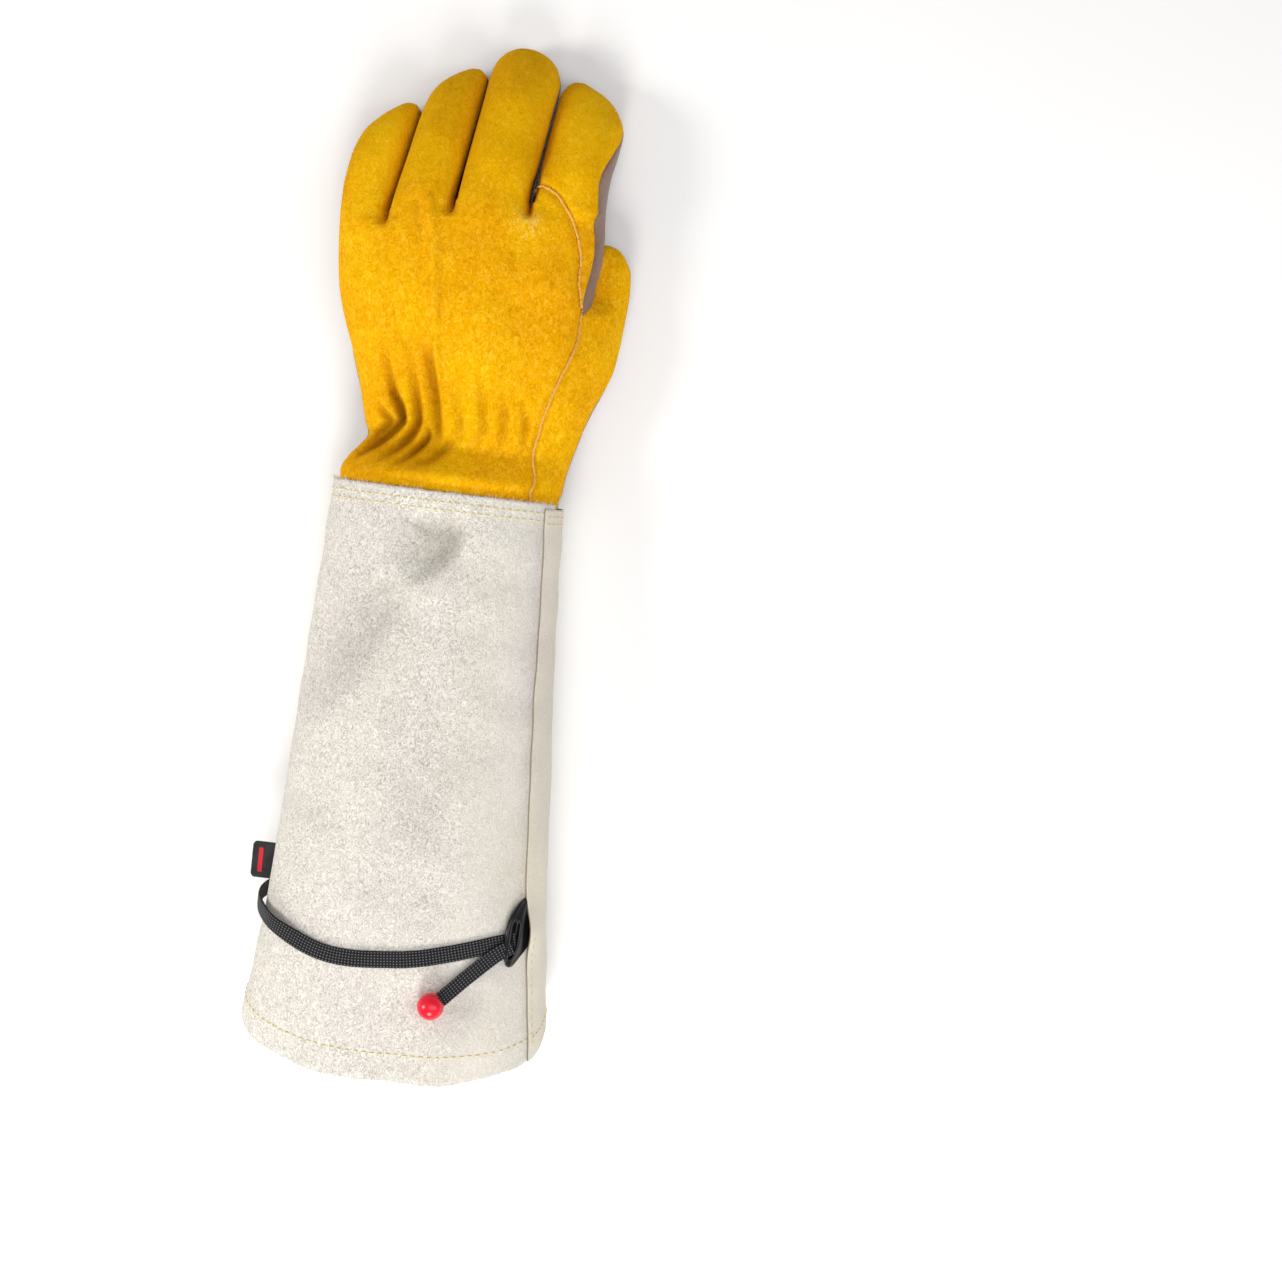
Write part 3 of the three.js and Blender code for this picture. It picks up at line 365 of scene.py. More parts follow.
def makeMesh(name, points, faces, material, weld=0.0, thickness=0.0, triangles=None, uv=None, creaseShadeAndGrime=None):
    # One piece from points in millimetres: doubles merged within the weld, and a wall laid inwards.
    mesh = bpy.data.meshes.new(name)
    points = points.reshape(-1, 3)
    allFaces = faces.tolist() + ([] if triangles is None else triangles.tolist())
    mesh.from_pydata((points * mm).tolist(), [], allFaces)
    if uv is not None:
        corners = np.empty(len(mesh.loops), np.int32)
        mesh.loops.foreach_get("vertex_index", corners)
        mesh.uv_layers.new(name="weave").data.foreach_set("uv", uv[corners].astype(np.float32).ravel())
    # Painted shade with some grime: the creases' depth, one value a point, for the materials to darken by.
    if creaseShadeAndGrime is not None:
        layer = mesh.attributes.new("creaseShadeAndGrime", "FLOAT", "POINT")
        layer.data.foreach_set("value", np.clip(creaseShadeAndGrime, 0, 1).astype(np.float32).ravel())
    piece = bpy.data.objects.new(name, mesh)
    bpy.context.scene.collection.objects.link(piece)
    mesh.materials.append(material)
    if weld:
        work = bmesh.new()
        work.from_mesh(mesh)
        bmesh.ops.remove_doubles(work, verts=work.verts, dist=weld * mm)
        bmesh.ops.dissolve_degenerate(work, edges=work.edges, dist=1e-7)
        work.to_mesh(mesh)
        work.free()
    mesh.shade_smooth()
    if thickness:
        wall = piece.modifiers.new("wall", "SOLIDIFY")
        wall.thickness = thickness * mm
        wall.offset = -1.0
    return piece


def finishPiece(piece, slot, *nodes):
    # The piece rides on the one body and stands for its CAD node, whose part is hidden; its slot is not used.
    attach(piece, "root")
    if nodes:
        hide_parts(*nodes)


def smoothstep(t):
    # Zero below 0 and one above 1, with 3t squared less 2t cubed between.
    t = np.clip(t, 0.0, 1.0)
    return t * t * (3 - 2 * t)


def bell(distance, width):
    # One at no distance, falling as e to the minus square of distance over width.
    return np.exp(-(distance / width) ** 2)


def unit(vectors):
    # Each vector divided by its own length.
    return vectors / np.maximum(np.linalg.norm(vectors, axis=-1, keepdims=True), 1e-9)


def runOf(path):
    # Distance walked along a path up to each of its points.
    return np.r_[0, np.cumsum(np.linalg.norm(np.diff(path, axis=0), axis=1))]


def cubicBetween(keys, values, slopes, at):
    # Between two rows the values and slopes are weighted by the cubic Hermite polynomials.
    i = np.clip(np.searchsorted(keys, at, side="right") - 1, 0, len(keys) - 2)
    w = (keys[i + 1] - keys[i])[..., None]
    t = (at - keys[i])[..., None] / w
    return (values[i] * (2 * t ** 3 - 3 * t ** 2 + 1) + slopes[i] * w * (t ** 3 - 2 * t ** 2 + t)
            + values[i + 1] * (3 * t ** 2 - 2 * t ** 3) + slopes[i + 1] * w * (t ** 3 - t ** 2))


def curveThrough(table, at, keys=None):
    # Cubic through the table's rows, one column per field, keyed by the first column. Each slope is the
    # harmonic mean of its neighbours' and level where they change sign, so that nothing overshoots.
    if keys is None:
        keys, table = table[:, 0], table[:, 1:]
    at = np.clip(np.asarray(at, float), keys[0], keys[-1])
    secants = np.diff(table, axis=0) / np.diff(keys)[:, None]
    level = secants[:-1] * secants[1:] <= 0
    middle = 2 * secants[:-1] * secants[1:] / np.where(level, 1.0, secants[:-1] + secants[1:])
    slopes = np.vstack([secants[:1], np.where(level, 0.0, middle), secants[-1:]])
    return cubicBetween(keys, table, slopes, at)


def sectionPoints(fields, angle, floor=0.0):
    # Rounded section from left, right, top, side and bottom: powers of cosine and sine round its middle,
    # flat where it would pass below the floor.
    left, right, top, side, bottom = (fields[..., i] for i in range(5))
    cosine, sine = np.cos(angle), np.sin(angle)
    power = np.where(sine >= 0, 2 / topRound, 2 / bottomRound)
    x = (left + right) / 2 + (right - left) / 2 * np.sign(cosine) * np.abs(cosine) ** power
    height = np.where(sine >= 0, top - side, side - bottom)
    return x, np.maximum(side + height * np.sign(sine) * np.abs(sine) ** power, floor)


def angleAtHeight(fields, z):
    # The section's angle at a height on its right side: its sine's power undone.
    top, side, bottom = fields[..., 2], fields[..., 3], fields[..., 4]
    above = np.clip((z - side) / np.maximum(top - side, 1e-6), 0, 1) ** (topRound / 2)
    below = np.clip((side - z) / np.maximum(side - bottom, 1e-6), 0, 1) ** (bottomRound / 2)
    return np.where(z >= side, np.arcsin(above), -np.arcsin(below))


def angleAtX(fields, x, roundness=topRound):
    # The section's angle at a place across it: its cosine's power undone.
    left, right = fields[..., 0], fields[..., 1]
    u = np.clip((x - (left + right) / 2) / ((right - left) / 2), -1, 1)
    return np.arccos(np.sign(u) * np.abs(u) ** (roundness / 2))


def gridOf(x, y, z):
    # Grid of points whose rows each lie at one y.
    return np.stack([x, np.repeat(y[:, None], x.shape[1], 1), z], axis=-1)


def nearestOn(x, y, line):
    # Each point in plan is squared onto every stretch of a line: the least distance, the side it lies on
    # and the line's third column there.
    best, side, third = np.full(np.shape(x), 1e9), np.zeros(np.shape(x)), np.zeros(np.shape(x))
    line = np.asarray(line, float)
    if line.shape[1] == 2:
        line = np.pad(line, ((0, 0), (0, 1)))
    for (x0, y0, s0), (x1, y1, s1) in zip(line[:-1], line[1:]):
        dx, dy = x1 - x0, y1 - y0
        t = np.clip(((x - x0) * dx + (y - y0) * dy) / (dx * dx + dy * dy), 0, 1)
        away = np.hypot(x - x0 - t * dx, y - y0 - t * dy)
        nearer = away < best
        best = np.where(nearer, away, best)
        side = np.where(nearer, (x - x0) * dy - (y - y0) * dx, side)
        third = np.where(nearer, s0 + (s1 - s0) * t, third)
    return best, side, third


def smoothLine(points, count, keyColumns=3):
    # Cubic through the points with slopes from both neighbours, spaced by distance; extra columns ride along.
    points = np.asarray(points, float)
    steps = runOf(points[:, :keyColumns])
    extended = np.vstack([2 * points[0] - points[1], points, 2 * points[-1] - points[-2]])
    keys = np.r_[-(steps[1] - steps[0]), steps, 2 * steps[-1] - steps[-2]]
    slopes = (extended[2:] - extended[:-2]) / (keys[2:] - keys[:-2])[:, None]
    return cubicBetween(steps, points, slopes, np.linspace(0, steps[-1], count))


# Slack of the leather: direction, length and phase of each wave.
waveTable = [(rng.uniform(0, 2 * math.pi), rng.uniform(16, 46), rng.uniform(0, 2 * math.pi))
             for _ in range(9)]


def waviness(x, y, amplitude):
    # Sum of plane waves in fixed directions: the slack of worn leather.
    total = np.zeros(np.shape(x))
    for direction, length, phase in waveTable:
        total += np.sin(2 * math.pi * (x * math.cos(direction) + y * math.sin(direction)) / length + phase)
    return amplitude * total / 3.0


def gridNormals(points):
    # Square to both the row and the column through each point of a grid.
    return unit(np.cross(np.gradient(points, axis=1), np.gradient(points, axis=0)))


def surfaceOf(*grids, above=0.0):
    # Upward-facing points of the grids above a height, with their outward directions.
    points = np.vstack([grid.reshape(-1, 3) for grid in grids])
    normals = np.vstack([gridNormals(grid).reshape(-1, 3) for grid in grids])
    normals = normals * np.where(normals[:, 2:] < 0, -1.0, 1.0)
    upper = (normals[:, 2] > 0.1) & (points[:, 2] > above)
    return points[upper], normals[upper]


def onSurface(surface, x, y, lift=0.0):
    # Nearest point in plan, carried along its tangent plane to the place asked for.
    points, normals = surface
    x, y = np.atleast_1d(np.asarray(x, float)), np.atleast_1d(np.asarray(y, float))
    nearest = []
    for k in range(0, len(x), 200):
        across = points[None, :, 0] - x[k:k + 200, None]
        along = points[None, :, 1] - y[k:k + 200, None]
        nearest.append((across ** 2 + along ** 2).argmin(axis=1))
    nearest = np.concatenate(nearest)
    p, n = points[nearest], normals[nearest]
    z = p[:, 2] - (n[:, 0] * (x - p[:, 0]) + n[:, 1] * (y - p[:, 1])) / n[:, 2]
    return np.stack([x, y, z], axis=1) + n * np.reshape(lift, (-1, 1)), n


def ringsAlong(path, across, up, width, height):
    # A closed profile carried along a path: its width across and its height up at each point.
    return path[..., None, :] + across[..., None, :] * width[..., None] + up[..., None, :] * height[..., None]


def closedLoft(name, rings, material, uv=None):
    # Rings joined in order, each end closed to its middle.
    count, sides = rings.shape[:2]
    flat = np.vstack([rings.reshape(-1, 3), rings[0].mean(axis=0), rings[-1].mean(axis=0)])
    k = np.arange(sides)
    first = np.stack([(k + 1) % sides, k, np.full(sides, count * sides)], axis=1)
    last = np.stack([k, (k + 1) % sides, np.full(sides, count * sides + 1)], axis=1)
    last[:, :2] += (count - 1) * sides
    if uv is not None:
        uv = np.vstack([uv, uv[:1], uv[-1:]])
    piece = makeMesh(name, flat, gridFaces(count, sides, closed=True), material,
                     triangles=np.vstack([first, last]), uv=uv)
    turnOutward(piece)
    return piece


def turnOutward(piece):
    # Faces of a closed form all turned to point out of it.
    work = bmesh.new()
    work.from_mesh(piece.data)
    bmesh.ops.recalc_face_normals(work, faces=work.faces)
    work.to_mesh(piece.data)
    work.free()


# Sizes of the hand: grid, slits between the fingers, walls, seams and slack.
hand = {
    "rowStep": 1.1,
    "columnsPerFinger": 30,
    "tipRows": 74,
    "slitBlend": 9.0,
    "slitRound": 3.4,
    "slitReach": 30.0,
    "sideWall": 13.0,
    "wall": 1.5,
    "seamDepth": 0.85,
    "seamWidth": 1.5,
    "slack": 0.5,
    "foldScale": 1.1,
    "slitEdge": 2.0,
    # Depth of gather that gets the full painted crease shade.
    "creaseShadeScale": 4.6,
}
# Rows that all the strips share, from under the gauntlet to above the forks.
sharedY = np.arange(112.0, 268.01, hand["rowStep"])
# Columns: y, left, right, top, side (height of the widest line), bottom.
handTable = np.array([
    (112, -53.2, 51.6, 50, 26, 2.5), (122, -53, 51.2, 49.6, 26, 2.5),
    (129, -53.3, 51.2, 51.2, 26, 2.5), (134, -53.6, 52.6, 51, 25, 2),
    (140, -51.2, 53.2, 49, 24, 1.6), (146, -46.5, 54.2, 45.8, 22.5, 1.4),
    (152, -42.6, 55.6, 43, 21.5, 1.2), (158, -44.6, 57.2, 42.8, 21, 1),
    (165, -46.4, 59, 43.6, 21, -0.4), (173, -48.4, 60.4, 45, 21.5, -0.9),
    (183, -51.6, 61.2, 46.8, 22, -1.4), (194, -55.2, 60.4, 48.6, 22.5, -1.4),
    (206, -59.6, 58, 50, 23, -1.4), (219, -63, 56.6, 50.6, 23.5, -0.4),
    (233, -64.8, 57.4, 50.2, 24, 2), (246, -65.8, 59, 49.4, 23.5, 4.5),
    (256, -66.1, 58.9, 48.4, 22.5, 6), (270, -66, 58, 46.8, 21, 7.5),
], float)
# The same columns from the hand to the tip, for the little, ring, middle and index finger.
fingerTables = [np.array(rows, float) for rows in (
    (
        (242, -65.4, -44.2, 41.6, 22, 7), (254, -65.9, -42.6, 40.6, 22, 7),
        (267, -66, -40.5, 39.2, 20, 5.4), (281, -64.2, -38.3, 35.4, 17, 3.4),
        (292, -60.8, -36.6, 31.2, 14, 1.4), (300, -54.5, -35.5, 27, 12, -0.6),
        (305, -48.5, -35.6, 23, 11, 1.4), (308.4, -43.8, -37, 18, 10.5, 4.4),
        (309.3, -42.6, -38.2, 13.6, 10.6, 8), (309.6, -41.8, -39, 10.9, 10.7, 10.5),
    ),
    (
        (248, -42.8, -14.6, 46.8, 25, 9), (261, -40.7, -12.7, 45.6, 25, 9.6),
        (276, -38.3, -10.8, 43, 23, 7.6), (291, -35.9, -8.9, 38.8, 20, 4.4),
        (304, -33.8, -7.3, 33.6, 16, 1.8), (313, -31.4, -6.2, 29, 13, -0.5),
        (320, -26.8, -5.6, 24.8, 12, 1), (325.2, -20.5, -5.6, 20.4, 11, 3.2),
        (328, -15.8, -8, 16.4, 10.5, 6), (328.9, -14.4, -8.9, 13.6, 10.6, 8),
        (329.3, -13.6, -9.9, 10.9, 10.7, 10.5),
    ),
    (
        (250, -13.2, 20.6, 49, 26, 9.6), (266, -11.2, 22.4, 47.8, 26, 10.8),
        (273, -10.3, 22.7, 46.8, 25.8, 10.4), (283, -9.1, 24.4, 44.8, 25, 9.2),
        (299, -7.1, 26.4, 40.4, 22, 6.2), (313, -5.4, 28, 34.8, 18, 3),
        (325, -4.2, 29.2, 28.8, 14, -0.4), (332, -2.4, 27.5, 24.4, 12, -0.5),
        (337, 1.2, 23.6, 19.8, 11.5, 3.2), (340, 5.8, 18.2, 16, 11, 6.4),
        (340.9, 8.4, 15.4, 13.6, 11, 8.6), (341.3, 9.6, 14, 11.2, 11, 10.8),
    ),
    (
        (250, 21.6, 59, 45.4, 24, 9.8), (266, 23.6, 58.2, 44.6, 23, 10.2),
        (273, 24.9, 58, 43.4, 22.2, 9.6), (283, 25.3, 58.4, 41.6, 21, 8.4),
        (297, 26.6, 60.6, 37.2, 18, 5), (307, 27.8, 61.6, 32.6, 15, 2.2),
        (315, 28.8, 58.6, 27.8, 13, -0.5), (321, 29.8, 53.8, 23.4, 12, 1.4),
        (325.4, 31.8, 47, 19.2, 11.5, 4), (327.6, 33.8, 42.8, 15.6, 11, 7),
        (328.6, 35.4, 40.8, 13.4, 11, 8.8), (329, 36.8, 39.4, 11.2, 11, 10.8),
    ),
)]
# The thumb, with the same columns.
thumbTable = np.array([
    (158, 34, 57, 33, 18, 5), (172, 38, 63.4, 31, 17, 3.4), (187, 42, 68.6, 29.4, 16, 2),
    (203, 44.8, 71.6, 27.4, 15, 1), (219, 46.4, 73, 25.2, 13.5, -0.4),
    (233, 47.4, 73.8, 23.6, 12.6, -0.6), (242, 48.6, 73.2, 22.2, 12, -0.4),
    (249, 51, 70.2, 20, 11.5, 2), (253.6, 54.8, 66, 16.8, 11, 5.2),
    (254.8, 57.3, 63.3, 13.6, 11, 8.4), (255.3, 58.6, 62, 11.2, 11, 10.8),
], float)
# Height of the edge of the yellow back: y, little finger's outer side, index finger's outer side.
backEdge = np.array([
    (100, 24, 24), (150, 21, 22), (200, 22, 29), (222, 22, 35.6), (240, 21, 34.4), (254, 20, 34),
    (260, 19.4, 34.8), (266, 18.6, 37), (278, 16.9, 37), (285, 16, 34.8), (291, 14.6, 31.2),
    (297, 12.6, 26.4), (305, 10.6, 17.5), (318, 9.4, 12), (330, 9.4, 11), (350, 9.4, 11),
], float)
# Height of the edge between the thumb's yellow wing and its brown front: y, height.
thumbEdge = np.array([
    (112, 22), (140, 21), (175, 18), (200, 15.5), (230, 12.8), (262, 11),
], float)
# Forks and ends of the slits between fingers: fork x, fork y, end x, end y.
slits = np.array([(-42.0, 255, -34.0, 306), (-12.2, 263, -4.2, 327), (23.0, 266, 30.0, 327)], float)
# Seams on the top: x, y.
indexSeam = [(23.4, 271), (26.6, 274), (31, 273.4), (36.2, 269.9), (43, 261.6), (47.8, 250.4), (49.5, 242.2),
             (49.6, 235), (50.6, 228), (52.4, 221)]
thumbSeam = [
    (52.4, 221), (51.8, 205), (46, 187), (42, 174), (38.5, 158), (38, 149), (40, 140), (39, 133),
    (38.5, 112),
]
# Gathers at the wrist: depth, slope width left and right of the crease, then x, y and share along it.
gathers = [
    (3.8, 2.3, 1.4, [
        (-38.7, 167.4, 0.2), (-33.6, 162.6, 0.9), (-30.8, 159.4, 1), (-32.9, 156.4, 1),
        (-38.6, 150.6, 0.7), (-42.7, 147, 0.1),
    ]),
    (6.7, 3.1, 1.4, [
        (-37, 194, 0.1), (-31.4, 177.7, 0.5), (-29.6, 172.4, 0.8), (-26.3, 167.2, 1),
        (-24.4, 160.2, 1), (-26.3, 157.2, 1), (-30.4, 152.8, 0.9), (-35, 148.3, 0.9),
        (-41.3, 143.6, 0.6), (-46.7, 139.6, 0.1),
    ]),
    (4.9, 3, 1.5, [
        (-25.5, 199, 0.1), (-21.7, 183.5, 0.4), (-18.8, 173.7, 0.7), (-16.6, 161.2, 1),
        (-18.3, 155.9, 1), (-21.2, 151.1, 0.9), (-26.8, 145.4, 0.7), (-34.5, 139.6, 0.1),
    ]),
    (4.6, 3.1, 1.4, [
        (-16.7, 198, 0.1), (-13.3, 188.3, 0.6), (-9.1, 172.1, 1), (-7.4, 162.3, 1), (-6.7, 155.7, 0.6),
        (-6.5, 151, 0.1),
    ]),
    (4.1, 2, 1.5, [
        (-12.1, 159.7, 0.1), (-11.5, 155.1, 0.8), (-12.3, 152.2, 1), (-16.2, 146.7, 1),
        (-20.3, 142.8, 0.7), (-26.8, 138.7, 0.1),
    ]),
    (3.2, 2.3, 2, [
        (-0.4, 155.5, 0.1), (-1.9, 150.7, 0.8), (-4.4, 147.5, 1), (-8.5, 143.7, 0.8), (-18.4, 139.3, 0.1),
    ]),
    (2.4, 2.5, 1.3, [
        (-1.1, 179.1, 0.1), (2.1, 167, 0.8), (3.5, 158.8, 0.7), (1.9, 151.1, 0.1),
    ]),
    (2.2, 2.8, 1.4, [
        (9.1, 188.3, 0.1), (12.7, 172.9, 0.8), (14.1, 160.1, 0.9), (11.3, 151.3, 0.1),
    ]),
    (2.2, 2.6, 1.3, [
        (22.4, 178.8, 0.1), (23.5, 168.2, 0.9), (23.3, 157.5, 0.7), (21.6, 151.7, 0.1),
    ]),
    (2.1, 2.4, 1.3, [
        (31.2, 175.2, 0.1), (33.7, 165.3, 0.9), (33.4, 155.9, 0.5), (32, 152, 0.1),
    ]),
]
# Low ridge from the ring finger down to the wrist: x, y.
handRidge = [(-22, 261), (-18, 245), (-10, 185), (-7, 162)]
# Broad swells and hollows of the top: height, radius along x, radius along y, x, y.
handSwells = [
    (1.5, 36, 4, 10, 137), (-2, 30, 5.5, 2, 150), (-1.8, 14, 9, -38, 143), (-1.2, 9, 20, -34, 186),
    (1, 12, 24, 12, 205), (-0.9, 7, 26, -24, 205), (0.9, 9, 20, -42, 222), (-1, 10, 10, 20, 246),
    (0.8, 10, 14, 38, 232), (-1.1, 8, 9, -6, 252), (-0.8, 5, 22, 60, 214),
]


def bodyFields(y):
    # The hand's section at each y.
    return curveThrough(handTable, y)


def slitX(index, y):
    # Above the fork the slit's own line, below it the same share of the hand's width.
    forkX, forkY, endX, endY = slits[index]
    fork = bodyFields(forkY)
    share = (forkX - (fork[0] + fork[1]) / 2) / ((fork[1] - fork[0]) / 2)
    fields = bodyFields(y)
    below = (fields[..., 0] + fields[..., 1]) / 2 + share * (fields[..., 1] - fields[..., 0]) / 2
    above = forkX + (endX - forkX) * (y - forkY) / (endY - forkY)
    return np.where(y < forkY, below, above)


def thumbSeamX(y):
    # Where the thumb seam lies across the hand at each y.
    seam = smoothLine(thumbSeam, 200)[::-1]
    return np.interp(y, seam[:, 1], seam[:, 0])


def creaseDepth(x, y, creases):
    # Each crease is a bell-shaped valley with its own slope width on either side of its line, added together.
    depth = np.zeros(np.shape(x))
    for amount, before, after, line in creases:
        away, side, share = nearestOn(x, y, smoothLine(line, 30, 2))
        depth += amount * np.clip(share, 0, 1) * bell(away, np.where(side < 0, after, before))
    return depth


def rowsToTip(table, y, beyond, count):
    # Rows spaced along the surface from the last shared row to the end of a finger or of the thumb.
    rest = np.vstack([np.r_[y, curveThrough(table, y)], table[table[:, 0] > y + beyond]])
    keys = runOf(rest * np.array([1, 0.7, 0.7, 0.7, 0, 0.4]))
    return curveThrough(rest, np.linspace(0, keys[-1], count + 1)[1:], keys)


def handStrip(index, under):
    # One finger with its share of the hand, from the wrist to the tip, as a grid of points: the hand's
    # section and the finger's are mixed by the height above the fork, and less so inside the strip.
    table = fingerTables[index]
    tip = rowsToTip(table, sharedY[-1], 1, hand["tipRows"])
    y = np.r_[sharedY, tip[:, 0]]
    forkLeft = slits[max(index - 1, 0)][1]
    forkRight = slits[min(index, 2)][1]
    lowest = min(forkLeft, forkRight)
    finger = np.vstack([curveThrough(table, np.maximum(sharedY, lowest)), tip[:, 1:]])
    body = bodyFields(y)
    edges = curveThrough(backEdge, y)
    atFork = np.argmin(np.abs(y - lowest))
    inner = finger[:, 3] + hand["slitEdge"] - 3.2 * smoothstep((y - table[-1, 0] + 26) / 16)
    wall = hand["sideWall"] * np.where(y < lowest, 1, np.clip((table[-1, 0] - 9 - y) / 24, 0, 1))
    low = finger[:, 4] + 0.12 * (finger[:, 2] - finger[:, 4])
    high = finger[:, 2] - 0.12 * (finger[:, 2] - finger[:, 4])
    angles = []
    for outer, edge in ((index == 0, edges[:, 0]), (index == 3, edges[:, 1])):
        edge = edge if outer else inner
        edge = np.where(y < lowest, edge[atFork], edge)
        if under and not outer:
            edge = edge - wall
        angles.append(angleAtHeight(finger, np.clip(edge, low, high)))
    sign, roundness = (-1, bottomRound) if under else (1, topRound)
    a = np.linspace(0, 1, hand["columnsPerFinger"] + 1)[None, :]
    left, right = (sign * math.pi - angles[0])[:, None], angles[1][:, None]
    xF, zF = sectionPoints(finger[:, None, :], left + (right - left) * a)
    if index == 0:
        bodyLeft = sign * math.pi - angleAtHeight(body, edges[:, 0])
    else:
        bodyLeft = sign * angleAtX(body, slitX(index - 1, y), roundness)
    if index < 3:
        bodyRight = sign * angleAtX(body, slitX(index, y), roundness)
    elif under:
        wing = curveThrough(thumbEdge, y)[:, 0]
        bodyRight = angleAtHeight(body, wing + (edges[:, 1] - wing) * smoothstep((y - 196) / 26))
    else:
        bodyRight = np.where(y < 222, angleAtX(body, thumbSeamX(y)), angleAtHeight(body, edges[:, 1]))
    xB, zB = sectionPoints(body[:, None, :], bodyLeft[:, None] + (bodyRight - bodyLeft)[:, None] * a)
    above = y[:, None] - (forkLeft + (forkRight - forkLeft) * a)
    inset = np.minimum(a, 1 - a) * 33.0
    flat = 0.8 * (1 - smoothstep(above / hand["slitReach"])) * smoothstep(inset / hand["slitRound"])
    if index in (0, 3):
        flat = flat * smoothstep((a if index == 0 else 1 - a) / 0.5)
    mixed = 1 - (1 - flat) * (1 - smoothstep(-above / hand["slitBlend"]))
    direct = xF * (1 - mixed) + xB * mixed
    xL = np.where(y < forkLeft, slitX(index - 1, y), xF[:, 0]) if index > 0 else direct[:, 0]
    xR = np.where(y < forkRight, slitX(index, y), xF[:, -1]) if index < 3 else direct[:, -1]
    spanF, spanB = xF[:, -1:] - xF[:, :1], xB[:, -1:] - xB[:, :1]
    uF = (xF - xF[:, :1]) / (spanF + np.where(np.abs(spanF) < 1e-6, 1e-6, 0))
    u = uF * (1 - mixed) + (xB - xB[:, :1]) / spanB * mixed
    x = xL[:, None] + u * (xR - xL)[:, None]
    if index in (0, 3):
        side = smoothstep((1 - a if index == 0 else a) / 0.5)
        x = x * (1 - side) + direct * side
    return gridOf(x, y, zF * (1 - mixed) + zB * mixed), finger


def joinStrips(strips):
    # Neighbours meet on one line below their fork: the edges' mean, faded out across each strip.
    shared = len(sharedY)
    for i in range(3):
        below = (sharedY < slits[i][1])[:, None]
        meeting = (strips[i][:shared, -1] + strips[i + 1][:shared, 0]) / 2
        for strip, column in ((strips[i], -1), (strips[i + 1], 0)):
            change = np.where(below, meeting - strip[:shared, column], 0)
            a = np.linspace(0, 1, strip.shape[1])
            weight = np.clip(1 - (1 - a if column == -1 else a) / 0.3, 0, 1) ** 2
            strip[:shared] += change[:, None, :] * weight[None, :, None]


def tuckEdge(points, fields, fromY, column, amount, width):
    # A sewn edge turns in: points near it move towards the middle of the section.
    steps = np.linalg.norm(np.diff(points, axis=1), axis=2)
    run = np.cumsum(np.pad(steps, ((0, 0), (1, 0))), axis=1)
    away = run if column == 0 else run[:, -1:] - run
    inward = np.zeros_like(points)
    inward[..., 0] = ((fields[:, 0] + fields[:, 1]) / 2)[:, None] - points[..., 0]
    inward[..., 2] = fields[:, 3][:, None] - points[..., 2]
    near = bell(away, width) * smoothstep((points[..., 1] - fromY) / 6)
    return points + unit(inward) * (amount * near)[..., None]


def dressTop(points):
    # Gathers, seam grooves, the ridge of the hand, swells and slack, added where the leather faces up.
    x, y = points[..., 0], points[..., 1]
    seam = nearestOn(x, y, smoothLine(indexSeam, 60))[0]
    seam = np.minimum(seam, nearestOn(x, y, smoothLine(thumbSeam, 90))[0])
    rise = -hand["foldScale"] * creaseDepth(x, y, gathers) * smoothstep((y - 126) / 8)
    rise -= (dentDepth(x, y) + 0.8) * smoothstep((126 - y) / 6)
    rise += 0.3 * bell(seam - 3.6, 2.0) - hand["seamDepth"] * bell(seam, hand["seamWidth"])
    ridge = np.array(handRidge, float)
    rise += 1.5 * bell(nearestOn(x, y, ridge)[0], 2.3)
    rise -= 1.1 * bell(nearestOn(x, y, ridge - [4.6, 0])[0], 3.0)
    for height, wide, long, atX, atY in handSwells:
        rise += height * bell(x - atX, wide) * bell(y - atY, long)
    rise += waviness(x, y, hand["slack"]) * smoothstep((y - 128) / 6)
    upward = np.abs(gridNormals(points)[..., 2])
    result = points.copy()
    result[..., 2] += rise * smoothstep(upward / 0.5)
    return result


def snapTo(points, line, reach):
    # Points of the grid next to a seam move onto it, so that the seam is a clean edge.
    flat = points.reshape(-1, 3)
    curve = smoothLine(line, 400)
    near = np.where(nearestOn(flat[:, 0], flat[:, 1], curve[::8])[0] < reach + 0.4)[0]
    gap = np.hypot(curve[None, :, 0] - flat[near, 0, None], curve[None, :, 1] - flat[near, 1, None])
    held = gap.min(axis=1) < reach
    flat[near[held], :2] = curve[gap.argmin(axis=1)[held], :2]
    return flat.reshape(points.shape)


def insidePlan(x, y, outline):
    # Inside where a ray to the right crosses the outline an odd number of times.
    inside = np.zeros(np.shape(x), bool)
    outline = np.asarray(outline, float)
    for (x0, y0), (x1, y1) in zip(outline, np.roll(outline, -1, axis=0)):
        at = x0 + (y - y0) * (x1 - x0) / (y1 - y0 if y1 != y0 else 1e-9)
        inside ^= ((y0 > y) != (y1 > y)) & (x < at)
    return inside


